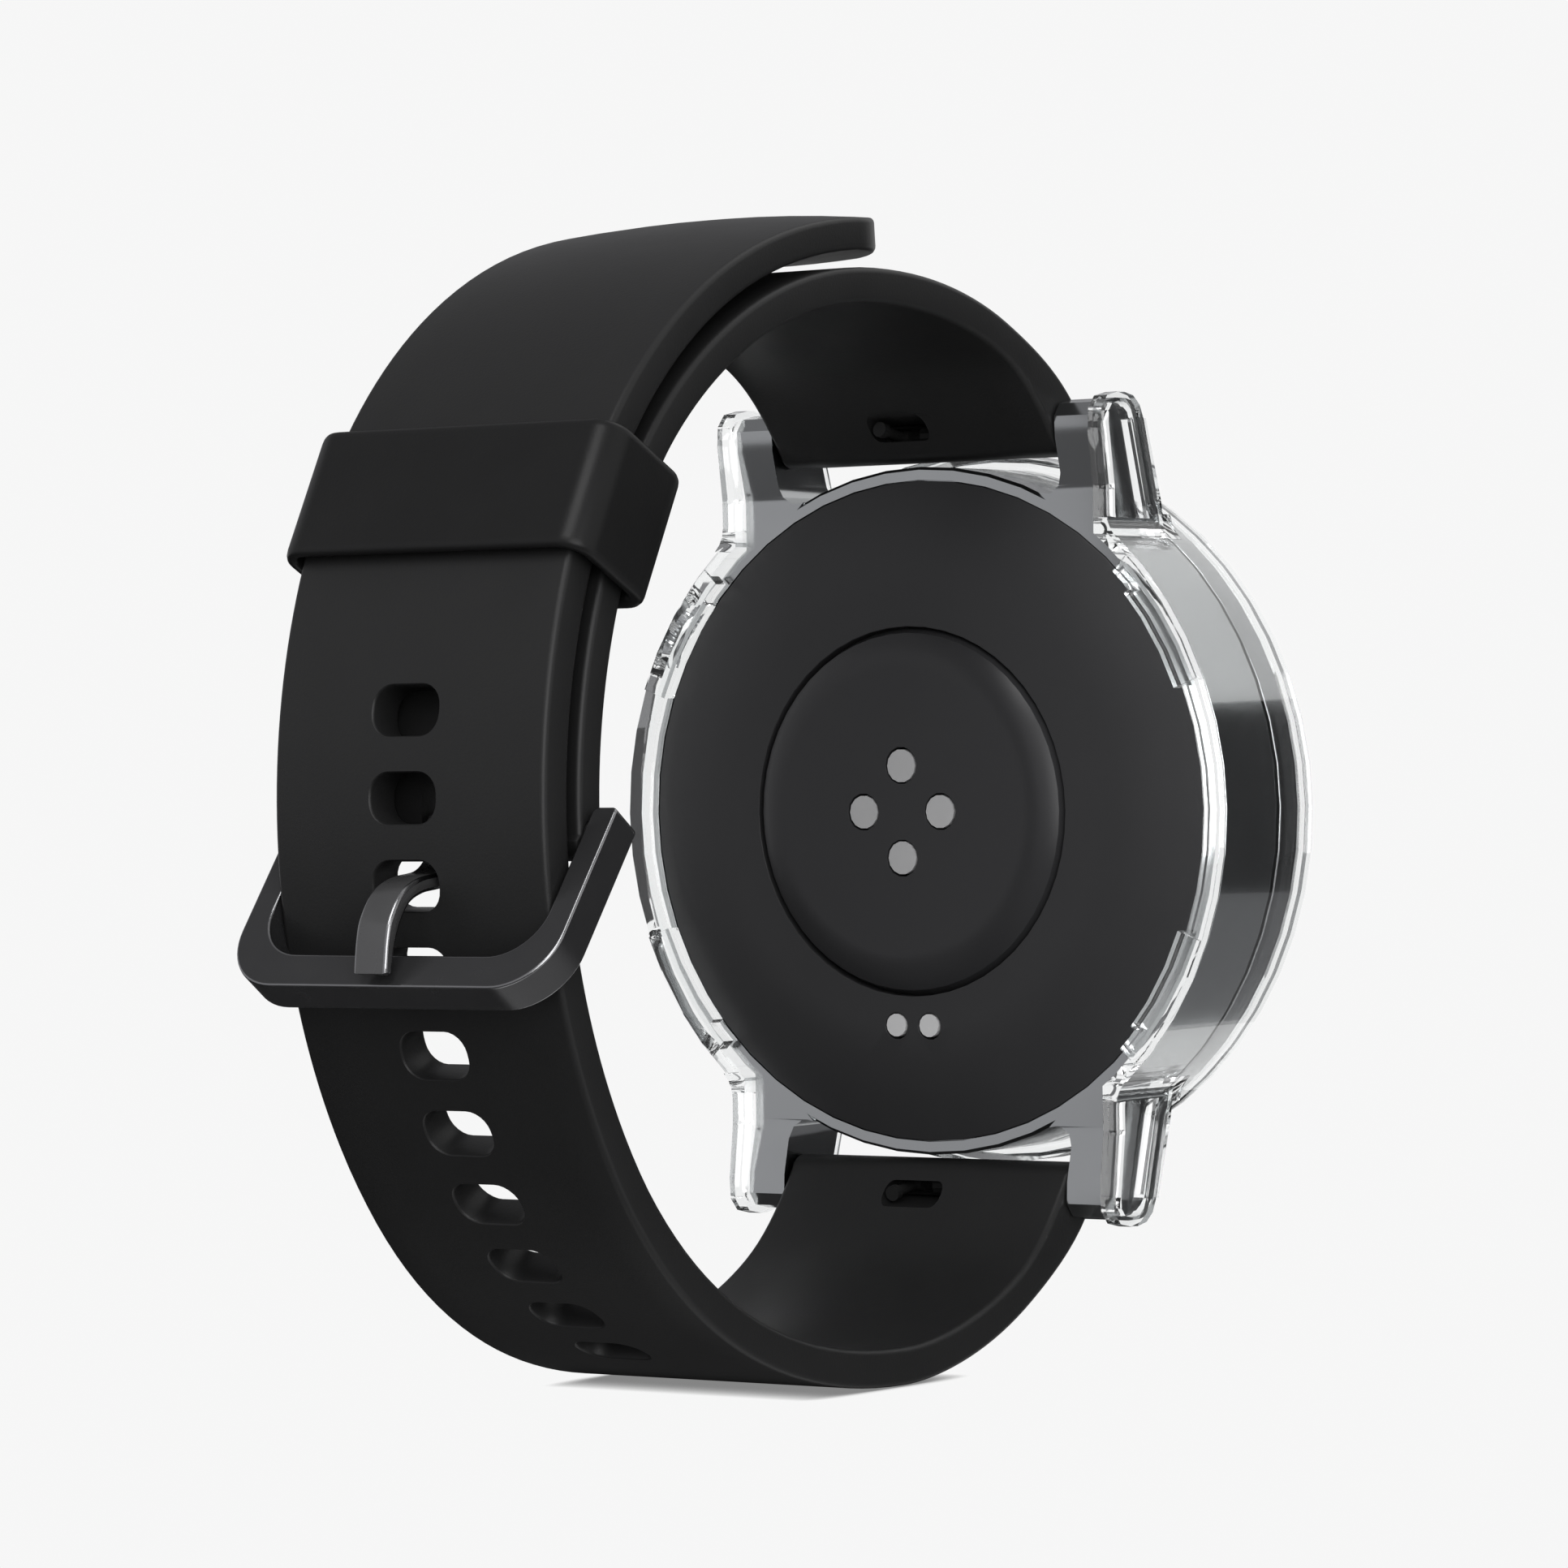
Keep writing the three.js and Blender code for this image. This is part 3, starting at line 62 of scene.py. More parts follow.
# Camera, found from the round back cover and the square lugs in the photograph
VIEW_DEGREES = 35.413
VIEW_RISE_DEGREES = 0.476
VIEW_ROLL_DEGREES = -0.962
VIEW_DISTANCE = 415.749
VIEW_TARGET = (11.179, 0, 1.858)
FOCAL_PIXELS = 7749.506
IMAGE_PIXELS = 1932
SENSOR_WIDTH = 36
CLIP_START = 0.01

# Shading: edges steeper than SMOOTH_DEGREES stay sharp
SMOOTH_DEGREES = 38
NORMAL_WEIGHT = 80

# Rounded copies of CAD nodes: points nearer than WELD become one, faces that lie within
# FLAT_DEGREES are joined, and points that a narrow rounding brings within COLLAPSED are merged
WELD, COLLAPSED = 2e-6, 5e-8
FLAT_DEGREES, ROUND_DEGREES = 0.6, 32
ROUND_SEGMENTS, ROUND_PROFILE = 3, 0.5

# Strap: a closed loop whose far side is an arc. A bend leaves the arc at the given degrees, passes
# its crest and ends at a spring bar; the shares are the reaches of its curves' handles. An edge's
# radius is at most EDGE_SHARE of the strap's thickness
LOOP_Y, LOOP_Z, LOOP_RADIUS = 13.6, 0.85, 35.55
BAR_Y, BAR_Z = -1.1, 24.4
BARREL_RADIUS = 1.75
LUG_WIDTH, END_WIDTH = 21.9, 20.1
TAPER_START_Y, TAPER_END_Y = 5, 45
FLARE_LENGTH = 9
INNER_THICKNESS, OUTER_THICKNESS, LAYER_GAP = 2.2, 2.4, 0.95
LAYER_STEP = INNER_THICKNESS / 2 + LAYER_GAP + OUTER_THICKNESS / 2
OUTER_RADIUS = LOOP_RADIUS + LAYER_STEP
UPPER_BEND = dict(degrees=35.9, crest=(19.64, 32.67), heading=231.9,
                  shares=(0.148, 0.504, 0.509, 0.235))
LOWER_BEND = dict(degrees=29.9, crest=(18.62, 33.97), heading=234.9,
                  shares=(0.396, 0.367, 0.244, 0.389))
TAIL = dict(degrees=29.3, end=(20.8, 35.86), heading=175.7, shares=(0.23, 0.483))
TAIL_THICKNESS, TAIL_CROWN, TIP_ROUND, TIP_HEADING = 1.95, 0.5, 5.1, 178.3
BEND_STEPS = 26
ARC_STEP_DEGREES = 1.5
BARREL_STEPS, BARREL_SQUEEZE = 7, 0.6
TIP_STEPS, TIP_EDGE_STEPS, TIP_STEP_DEGREES = 9, 6, 7
LAST_DEGREES = 88
OUTER_EDGE, INNER_EDGE, EDGE_SHARE = 0.38, 0.42, 0.45
EDGE_STEPS, CROWN_STEPS = 5, 8
HOLE_COUNT, HOLE_PITCH, HOLE_SIZE, HOLE_ROUND, HOLE_SHIFT = 10, 5, (4.8, 3), 1.3, 0.35
TONGUE_HOLE, TONGUE_HOLE_DEGREES = 2, -6
# A hole's rounded mouth: depth below the strap's face, and how far the hole is wider there
HOLE_MOUTH = ((-0.3, 0.42), (0, 0.12), (0.06, 0.05), (0.16, 0))

# Quick-release opening in each strap end
RELEASE_LEAN = 10
RECESS_X, RECESS_WIDTH, RECESS_HEIGHT, RECESS_ROUND, RECESS_REACH = 0.55, 4.5, 1.4, 0.6, 5
SPRING_BAR_RADIUS, RUNNING_GAP = 0.75, 0.12
THROUGH = 12

# Buckle
PIN_DEGREES, PIN_INSET, PIN_RADIUS, PIN_BARREL = -2, 0.05, 0.72, 1.6
BUCKLE_DEGREES, BUCKLE_REACH, BUCKLE_BAR, BUCKLE_ARM = -53.3, 11.5, 2.25, 1.75
BUCKLE_SIDE_GAP, PIN_COVER = 0.2, 0.8
BUCKLE_INNER = END_WIDTH / 2 + BUCKLE_SIDE_GAP
BUCKLE_OUTER = BUCKLE_INNER + BUCKLE_ARM
PIN_HALF = BUCKLE_OUTER - PIN_COVER
BUCKLE_FRONT, BUCKLE_THICKNESS, BUCKLE_EDGE = 1, 2.4, 0.15
ARM_END, ARM_ROUND = 1.2, 0.4
BUCKLE_OUTER_ROUND, BUCKLE_INNER_ROUND, CORNER_STEPS = 3.9, 3.2, 14
# The tongue's middle line along and above the frame, in shares of the buckle's reach
TONGUE_PATH = [(0.05, 0), (0.2, 0), (0.31, 0.045), (0.44, 0.175), (0.56, 0.245), (0.7, 0.25),
               (0.82, 0.215), (0.965, 0.145)]
TONGUE_WIDTH, TONGUE_THICKNESS, TONGUE_EDGE = 2.45, 0.95, 0.22
TONGUE_STEPS, TONGUE_TIP_STEPS, TONGUE_TIP_THINNING = 5, 8, 0.045
TONGUE_EYE, EYE_FACETS, TUBE_FACETS = 1.4, 40, 32
# The slot for the tongue's eye in the strap: its corners about the pin, and its gap at each side
SLOT_CORNERS, SLOT_GAP = ((-5, -4), (5, -4), (5, 3), (-5, 3)), 0.35
EYE_BORE = 5

# Keeper
KEEPER_DEGREES, KEEPER_LENGTH = 28, 8.4
KEEPER_WALL, KEEPER_INNER_WALL, KEEPER_SIDE = 0.75, 1.2, 0.9
KEEPER_GAP, KEEPER_INNER_GAP, KEEPER_SIDE_GAP = 0.2, 0.3, 0.45
KEEPER_ROUND, KEEPER_INNER_ROUND, KEEPER_CORNER_STEPS = 1.9, 1.0, 10
# Its wall's cross-section: share of the way inwards, and place along the strap
KEEPER_SECTION = [(0, -0.86), (0, 0.86), (0.04, 0.93), (0.15, 0.975), (0.35, 1), (0.65, 1),
                  (0.85, 0.975), (0.96, 0.93), (1, 0.86), (1, -0.86), (0.96, -0.93),
                  (0.85, -0.975), (0.65, -1), (0.35, -1), (0.15, -0.975), (0.04, -0.93)]


def to_row(x, y, z):
    """Takes a place in millimetres to the frame's metres."""
    return Vector((x, y - DOME_TOP, z)) * MM


# Meshes

def new_object(name, bm, body, *nodes):
    """Makes a smooth-shaded piece of a bmesh and puts it in place of CAD nodes."""
    bmesh.ops.recalc_face_normals(bm, faces=bm.faces[:])
    mesh = bpy.data.meshes.new(name)
    bm.to_mesh(mesh)
    bm.free()
    piece = bpy.data.objects.new(name, mesh)
    bpy.context.scene.collection.objects.link(piece)
    smooth(mesh)
    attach(piece, body)
    if nodes:
        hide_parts(*nodes)
    return piece


def smooth(mesh):
    """Shades a mesh smooth but for its steep edges."""
    mesh.polygons.foreach_set("use_smooth", [True] * len(mesh.polygons))
    mesh.set_sharp_from_angle(angle=math.radians(SMOOTH_DEGREES))
    mesh.update()


def level_normals(piece):
    """Lets the large faces decide the shading, so that flats look flat."""
    modifier = piece.modifiers.new("normals", "WEIGHTED_NORMAL")
    modifier.keep_sharp = True
    modifier.weight = NORMAL_WEIGHT
    apply_modifiers(piece)


def loft(bm, rings):
    """Skins a row of equal rings of points and closes its ends."""
    rows = [[bm.verts.new(p) for p in ring] for ring in rings]
    count = len(rows[0])
    for low, high in zip(rows, rows[1:]):
        for i in range(count):
            j = (i + 1) % count
            bm.faces.new((low[i], low[j], high[j], high[i]))
    bm.faces.new(rows[0][::-1])
    bm.faces.new(rows[-1])


def cutter(rings):
    """A throw-away solid for a boolean."""
    bm = bmesh.new()
    loft(bm, rings)
    bmesh.ops.recalc_face_normals(bm, faces=bm.faces[:])
    mesh = bpy.data.meshes.new("cutter")
    bm.to_mesh(mesh)
    bm.free()
    made = bpy.data.objects.new("cutter", mesh)
    bpy.context.scene.collection.objects.link(made)
    return made


def cut(piece, cutters, operation="DIFFERENCE"):
    """Takes solids away from a piece, or joins them to it, and removes them from the scene."""
    for tool in cutters:
        modifier = piece.modifiers.new("cut", "BOOLEAN")
        modifier.operation = operation
        modifier.solver = "EXACT"
        modifier.object = tool
    apply_modifiers(piece)
    for tool in cutters:
        mesh = tool.data
        bpy.data.objects.remove(tool)
        bpy.data.meshes.remove(mesh)
    smooth(piece.data)


def apply_modifiers(piece):
    """Writes a piece's modifiers into its mesh."""
    bpy.context.view_layer.update()
    graph = bpy.context.evaluated_depsgraph_get()
    mesh = bpy.data.meshes.new_from_object(piece.evaluated_get(graph))
    old = piece.data
    piece.modifiers.clear()
    piece.data = mesh
    mesh.name = piece.name
    bpy.data.meshes.remove(old)


def rounded_rectangle(width, height, radius, steps=6):
    """An outline about the origin, steps lines to each corner."""
    points = []
    for cx, cy, start in ((1, 1, 0), (-1, 1, 90), (-1, -1, 180), (1, -1, 270)):
        for i in range(steps + 1):
            angle = math.radians(start + 90 * i / steps)
            points.append((cx * (width / 2 - radius) + radius * math.cos(angle),
                           cy * (height / 2 - radius) + radius * math.sin(angle)))
    return points


def round_edges(bm, edges, width, clamp):
    """Rounds edges; with clamp, no wider than the shortest of them allows."""
    bmesh.ops.bevel(bm, geom=edges, offset=width * MM, offset_type="OFFSET",
                    segments=ROUND_SEGMENTS, profile=ROUND_PROFILE, affect="EDGES",
                    clamp_overlap=clamp)


def rounded_copy(node, name, body, width):
    """A copy of a rigid CAD node that stands for it, with its edges rounded.

    The width is what the shortest edge leaves room for, at most the given one.
    """
    bm = bmesh.new()
    bm.from_mesh(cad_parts[node].data)
    bmesh.ops.remove_doubles(bm, verts=bm.verts[:], dist=WELD)
    bmesh.ops.dissolve_limit(bm, angle_limit=math.radians(FLAT_DEGREES), verts=bm.verts[:],
                             edges=bm.edges[:])
    least = math.radians(ROUND_DEGREES)
    edges = [e for e in bm.edges if len(e.link_faces) == 2 and e.calc_face_angle() > least]
    round_edges(bm, edges, width, True)
    bmesh.ops.remove_doubles(bm, verts=bm.verts[:], dist=COLLAPSED)
    bmesh.ops.dissolve_degenerate(bm, edges=bm.edges[:], dist=COLLAPSED)
    piece = new_object(name, bm, body, node)
    level_normals(piece)
    return piece


# The strap's middle line: stations of a place and a direction outwards from the wrist, in Y and Z

def arc(radius, start, end):
    """Stations along the strap's circle, by degrees."""
    steps = max(1, math.ceil(abs(end - start) / ARC_STEP_DEGREES))
    stations = []
    for i in range(steps + 1):
        angle = math.radians(start + (end - start) * i / steps)
        out = Vector((math.cos(angle), math.sin(angle)))
        stations.append((Vector((LOOP_Y, LOOP_Z)) + out * radius, out))
    return stations


def curve(start, heading_a, end, heading_b, share_a, share_b, side):
    """Stations along a cubic curve with a handle at each end, without its first."""
    chord = (end - start).length
    points = [start, start + heading_a * chord * share_a, end - heading_b * chord * share_b, end]
    stations = []
    for i in range(1, BEND_STEPS + 1):
        t = i / BEND_STEPS
        s = 1 - t
        at = (points[0] * s**3 + points[1] * 3 * s * s * t + points[2] * 3 * s * t * t
              + points[3] * t**3)
        slope = ((points[1] - points[0]) * s * s + (points[2] - points[1]) * 2 * s * t
                 + (points[3] - points[2]) * t * t).normalized()
        stations.append((at, Vector((slope.y, -slope.x)) * side))
    return stations


def bend(radius, facts, side):
    """The two curves from the arc over the crest to a spring bar; side is 1 above and -1 below."""
    at, out = arc(radius, side * facts["degrees"], side * facts["degrees"])[0]
    heading = math.radians(facts["heading"])
    crest = Vector((facts["crest"][0], side * facts["crest"][1]))
    shares = facts["shares"]
    rise = curve(at, Vector((-out.y, out.x)) * side, crest, Vector((-1, 0)), shares[0], shares[1],
                 side)
    fall = curve(crest, Vector((-1, 0)), Vector((BAR_Y, side * BAR_Z)),
                 Vector((math.cos(heading), side * math.sin(heading))), shares[2], shares[3], side)
    return rise, fall


def strap_ring(station, half, thickness, squeeze=1, crown=0):
    """One cross-section with small round edges; those towards the outside are the crisper ones."""
    at, out = station

    def high(x):
        return thickness / 2 + crown * (1 - (2 * x / END_WIDTH)**2)

    points = []
    corners = ((1, -1, INNER_EDGE), (1, 1, OUTER_EDGE), (-1, 1, OUTER_EDGE), (-1, -1, INNER_EDGE))
    for side, level, radius in corners:
        radius = min(radius * squeeze, thickness * EDGE_SHARE)
        flat = half - radius
        turns = range(EDGE_STEPS + 1)
        for i in (turns if side == level else reversed(turns)):
            angle = math.radians(90 * i / EDGE_STEPS)
            points.append((side * (flat + radius * math.cos(angle)),
                           level * (high(flat) - radius + radius * math.sin(angle))))
        if side == level:
            for i in range(1, CROWN_STEPS):
                x = side * flat * (1 - 2 * i / CROWN_STEPS)
                points.append((x, level * high(x)))
    return [to_row(x, at.x + out.x * n, at.y + out.y * n) for x, n in points]


def tapered_half(y):
    """Half the strap's width, which narrows from the lugs on."""
    share = min(1, max(0, (y - TAPER_START_Y) / (TAPER_END_Y - TAPER_START_Y)))
    return (LUG_WIDTH + (END_WIDTH - LUG_WIDTH) * share) / 2


def flared(length, thickness):
    """The strap's thickness at a length from a spring bar, where it swells to the barrel."""
    share = min(1, length / FLARE_LENGTH)
    share = share * share * (3 - 2 * share)
    return BARREL_RADIUS * 2 + (thickness - BARREL_RADIUS * 2) * share


def barrel_end(station, back, radius, half):
    """Rings that close a strap end with a half cylinder, from its tip to the given station."""
    at, out = station
    rings = []
    for i in range(BARREL_STEPS, 0, -1):
        angle = math.radians(LAST_DEGREES * i / BARREL_STEPS)
        rings.append(strap_ring((at + back * radius * math.sin(angle), out), half,
                                2 * radius * math.cos(angle), BARREL_SQUEEZE))
    return rings


def strap_rings(stations, thickness, half_at):
    """Cross-sections at all stations, with the swelling near the first."""
    rings = []
    length = 0
    for i, station in enumerate(stations):
        if i:
            length += (station[0] - stations[i - 1][0]).length
        rings.append(strap_ring(station, half_at(station), flared(length, thickness)))
    return rings


def tube_cutter(radius, half, at, facets=TUBE_FACETS):
    """A cylinder across the strap, from -half to half."""
    rings = []
    for x in (-half, half):
        rings.append([to_row(x, at.x + radius * math.cos(a), at.y + radius * math.sin(a))
                      for a in (2 * math.pi * i / facets for i in range(facets))])
    return cutter(rings)


def face_cutter(station, width, height, radius, levels, centre_x):
    """Cuts a rounded opening square to a face; levels are (height off the middle line, growth)."""
    at, out = station
    across = Vector((out.y, -out.x))
    rings = []
    for level, grow in levels:
        shape = rounded_rectangle(width + 2 * grow, height + 2 * grow, radius + grow)
        rings.append([to_row(centre_x + u, at.x + across.x * v + out.x * level,
                             at.y + across.y * v + out.y * level) for u, v in shape])
    return cutter(rings)


pin_at = arc(LOOP_RADIUS - PIN_INSET, PIN_DEGREES, PIN_DEGREES)[0][0]
upper_rise, upper_fall = bend(LOOP_RADIUS, UPPER_BEND, 1)
lower_rise, lower_fall = bend(OUTER_RADIUS, LOWER_BEND, -1)


def end_cutters(side):
    """The bore for the spring bar, and the opening for the quick-release pin."""
    bar = Vector((BAR_Y, side * BAR_Z))
    lean = math.radians(RELEASE_LEAN)
    direction = Vector((math.cos(lean), side * math.sin(lean)))
    return [tube_cutter(SPRING_BAR_RADIUS + RUNNING_GAP, THROUGH, bar),
            face_cutter((bar, direction), RECESS_WIDTH, RECESS_HEIGHT, RECESS_ROUND,
                        ((0, 0), (RECESS_REACH, 0)), RECESS_X)]


def make_short_strap():
    """The half that carries the buckle, from its spring bar to the buckle's pin."""
    stations = arc(LOOP_RADIUS, PIN_DEGREES, UPPER_BEND["degrees"]) + upper_rise + upper_fall
    stations = stations[::-1]
    rings = strap_rings(stations, INNER_THICKNESS, lambda s: tapered_half(s[0].x))
    start, end = stations[0], stations[-1]
    back = Vector((-start[1].y, start[1].x))
    rings = barrel_end(start, back, BARREL_RADIUS, LUG_WIDTH / 2) + rings
    down = Vector((end[1].y, -end[1].x))
    rings += barrel_end((pin_at, end[1]), down, PIN_BARREL, END_WIDTH / 2)[::-1]
    bm = bmesh.new()
    loft(bm, rings)
    piece = new_object("strap_short", bm, "watch", "strap_buckle_half")
    half = TONGUE_WIDTH / 2 + SLOT_GAP
    slot = [[to_row(x, pin_at.x + y, pin_at.y + z) for y, z in SLOT_CORNERS] for x in (-half, half)]
    bore = tube_cutter(PIN_RADIUS + RUNNING_GAP, THROUGH, pin_at)
    cut(piece, end_cutters(1) + [bore, cutter(slot)])
    return piece


def hole_stations():
    """The holes' middles, counted from the tongue's hole along the arc and then along the bend."""
    per_degree = math.radians(1) * OUTER_RADIUS
    arc_length = (LOWER_BEND["degrees"] + TONGUE_HOLE_DEGREES) * per_degree
    bend_degrees = -LOWER_BEND["degrees"]
    path = arc(OUTER_RADIUS, bend_degrees, bend_degrees) + lower_rise + lower_fall
    found = []
    for i in range(HOLE_COUNT):
        length = (i - TONGUE_HOLE) * HOLE_PITCH
        if length <= arc_length:
            angle = TONGUE_HOLE_DEGREES - length / per_degree
            found.append(arc(OUTER_RADIUS, angle, angle)[0])
            continue
        left = length - arc_length
        for before, after in zip(path, path[1:]):
            step = (after[0] - before[0]).length
            if left <= step:
                share = left / step
                found.append((before[0].lerp(after[0], share), before[1].lerp(after[1], share)))
                break
            left -= step
    return found


def tip_rings(end, out):
    """Rings of the tail's tip, whose corners are round in plan and whose last edge is rounded."""
    heading = math.radians(TIP_HEADING)
    forward = Vector((math.cos(heading), math.sin(heading)))
    places = [(TIP_ROUND * math.sin(math.radians(TIP_STEP_DEGREES * i)), 0)
              for i in range(1, TIP_STEPS + 1)]
    for i in range(TIP_EDGE_STEPS + 1):
        angle = math.radians(LAST_DEGREES * i / TIP_EDGE_STEPS)
        places.append((TIP_ROUND - OUTER_EDGE * (1 - math.sin(angle)),
                       OUTER_EDGE * (1 - math.cos(angle))))
    rings = []
    for ahead, drop in places:
        inset = TIP_ROUND - math.sqrt(max(0, TIP_ROUND**2 - ahead**2))
        rings.append(strap_ring((end + forward * ahead, out), END_WIDTH / 2 - inset,
                                TAIL_THICKNESS - 2 * drop, crown=TAIL_CROWN))
    return rings


def make_long_strap():
    """The half with the holes, from its spring bar to the tip of its free tail."""
    stations = ((lower_rise + lower_fall)[::-1]
                + arc(OUTER_RADIUS, -LOWER_BEND["degrees"], TAIL["degrees"]))
    rings = strap_rings(stations, OUTER_THICKNESS,
                        lambda s: END_WIDTH / 2 if s[1].y > 0 else tapered_half(s[0].x))
    start, (at, out) = stations[0], stations[-1]
    back = Vector((start[1].y, -start[1].x))
    rings = barrel_end(start, back, BARREL_RADIUS, LUG_WIDTH / 2) + rings
    heading = math.radians(TAIL["heading"])
    tail = curve(at, Vector((-out.y, out.x)), Vector(TAIL["end"]),
                 Vector((math.cos(heading), math.sin(heading))), *TAIL["shares"], 1)
    for i, station in enumerate(tail):
        share = (i + 1) / len(tail)
        thickness = OUTER_THICKNESS + (TAIL_THICKNESS - OUTER_THICKNESS) * share
        rings.append(strap_ring(station, END_WIDTH / 2, thickness, crown=TAIL_CROWN * share))
    rings += tip_rings(*tail[-1])
    bm = bmesh.new()
    loft(bm, rings)
    piece = new_object("strap_long", bm, "watch", "strap_hole_half")
    half = OUTER_THICKNESS / 2
    levels = [(depth - half, grow) for depth, grow in HOLE_MOUTH]
    levels += [(-level, grow) for level, grow in reversed(levels)]
    cutters = [face_cutter(station, *HOLE_SIZE, HOLE_ROUND, levels, HOLE_SHIFT)
               for station in hole_stations()]
    cut(piece, end_cutters(-1) + cutters)
    return piece


def make_keeper():
    """The band round both strap layers, swept round its opening."""
    angle = math.radians(KEEPER_DEGREES)
    out = Vector((math.cos(angle), math.sin(angle)))
    along = Vector((-out.y, out.x))
    half = KEEPER_LENGTH / 2
    inside = LOOP_RADIUS - INNER_THICKNESS / 2 - KEEPER_INNER_GAP
    low = math.sqrt(inside**2 - half**2)
    high = OUTER_RADIUS + OUTER_THICKNESS / 2 + KEEPER_GAP
    inner_width = END_WIDTH + KEEPER_SIDE_GAP * 2
    outer_centre = (low - KEEPER_INNER_WALL + high + KEEPER_WALL) / 2
    outer = rounded_rectangle(inner_width + KEEPER_SIDE * 2,
                              high - low + KEEPER_WALL + KEEPER_INNER_WALL,
                              KEEPER_ROUND, KEEPER_CORNER_STEPS)
    inner = rounded_rectangle(inner_width, high - low, KEEPER_INNER_ROUND, KEEPER_CORNER_STEPS)
    outer = [(x, outer_centre + n) for x, n in outer]
    inner = [(x, (low + high) / 2 + n) for x, n in inner]
    bm = bmesh.new()
    rows = []
    for (ox, oy), (ix, iy) in zip(outer, inner):
        row = []
        for share, place in KEEPER_SECTION:
            x, n = ox + (ix - ox) * share, oy + (iy - oy) * share
            row.append(bm.verts.new(to_row(x, LOOP_Y + out.x * n + along.x * half * place,
                                           LOOP_Z + out.y * n + along.y * half * place)))
        rows.append(row)
    count = len(KEEPER_SECTION)
    for a, b in zip(rows, rows[1:] + rows[:1]):
        for i in range(count):
            bm.faces.new((a[i], a[(i + 1) % count], b[(i + 1) % count], b[i]))
    return new_object("keeper_band", bm, "keeper", "strap_keeper")


def plate(name, body, node, outline, low, high, matrix, width):
    """Extrudes an outline, rounds its edges and stands it in place of a node."""
    bm = bmesh.new()
    ends = [[bm.verts.new(matrix @ Vector((u, v, w))) for u, v in outline] for w in (low, high)]
    count = len(outline)
    for i in range(count):
        j = (i + 1) % count
        bm.faces.new((ends[0][i], ends[0][j], ends[1][j], ends[1][i]))
    caps = [bm.faces.new(ends[0][::-1]), bm.faces.new(ends[1])]
    bmesh.ops.recalc_face_normals(bm, faces=bm.faces[:])
    round_edges(bm, [e for cap in caps for e in cap.edges], width, False)
    return new_object(name, bm, body, node)


def round_corners(corners):
    """Rounds the corners of an outline of (u, v, radius) by arcs."""
    points = []
    for i, (u, v, radius) in enumerate(corners):
        here = Vector((u, v))
        a = Vector(corners[i - 1][:2]) - here
        b = Vector(corners[(i + 1) % len(corners)][:2]) - here
        half = a.angle(b) / 2
        back = radius / math.tan(half)
        a.normalize()
        b.normalize()
        centre = here + (a + b).normalized() * (radius / math.sin(half))
        start, end = here + a * back - centre, here + b * back - centre
        sweep = start.angle_signed(end)
        for k in range(CORNER_STEPS + 1):
            turned = start.copy()
            turned.rotate(Matrix.Rotation(-sweep * k / CORNER_STEPS, 2))
            points.append(tuple(centre + turned))
    return points


def axes_matrix(u, v, w, origin):
    """Takes millimetres along three directions to the frame's metres."""
    matrix = Matrix((u, v, w)).transposed().to_4x4()
    matrix = Matrix.Diagonal((MM, MM, MM, 1)) @ matrix
    matrix.translation = origin
    return matrix


def make_buckle():
    """The frame and the tongue, both extruded and closed round the pin."""
    angle = math.radians(BUCKLE_DEGREES)
    along = Vector((0, math.cos(angle), math.sin(angle)))
    across = Vector((1, 0, 0))
    normal = across.cross(along)
    origin = to_row(0, pin_at.x, pin_at.y)
    outer, inner = BUCKLE_OUTER, BUCKLE_INNER
    bar = BUCKLE_REACH - BUCKLE_BAR
    outline = round_corners([(-outer, -ARM_END, ARM_ROUND), (-inner, -ARM_END, ARM_ROUND),
                             (-inner, bar, BUCKLE_INNER_ROUND), (inner, bar, BUCKLE_INNER_ROUND),
                             (inner, -ARM_END, ARM_ROUND), (outer, -ARM_END, ARM_ROUND),
                             (outer, BUCKLE_REACH, BUCKLE_OUTER_ROUND),
                             (-outer, BUCKLE_REACH, BUCKLE_OUTER_ROUND)])
    matrix = axes_matrix(across, along, normal, origin)
    buckle = plate("buckle_body", "buckle", "buckle_frame", outline,
                   BUCKLE_FRONT - BUCKLE_THICKNESS, BUCKLE_FRONT, matrix, BUCKLE_EDGE)
    cut(buckle, [tube_cutter(PIN_RADIUS + RUNNING_GAP, PIN_HALF + RUNNING_GAP, pin_at)])
    level_normals(buckle)
    middle = smooth_path([Vector(p) * BUCKLE_REACH for p in TONGUE_PATH], TONGUE_STEPS)
    sides = [[], []]
    for i, point in enumerate(middle):
        slope = (middle[min(i + 1, len(middle) - 1)] - middle[max(i - 1, 0)]).normalized()
        in_tip = max(0, i - len(middle) + TONGUE_TIP_STEPS + 1)
        thickness = TONGUE_THICKNESS * (1 - TONGUE_TIP_THINNING * in_tip)
        off = Vector((-slope.y, slope.x)) * thickness / 2
        sides[0].append(tuple(point + off))
        sides[1].append(tuple(point - off))
    matrix = axes_matrix(along, normal, across, origin)
    half = TONGUE_WIDTH / 2
    tongue = plate("tongue_body", "tongue", "buckle_tongue", sides[0] + sides[1][::-1], -half, half,
                   matrix, TONGUE_EDGE)
    cut(tongue, [tube_cutter(TONGUE_EYE, half, pin_at, EYE_FACETS)], "UNION")
    cut(tongue, [tube_cutter(PIN_RADIUS + RUNNING_GAP, EYE_BORE, pin_at)])
    return buckle, tongue


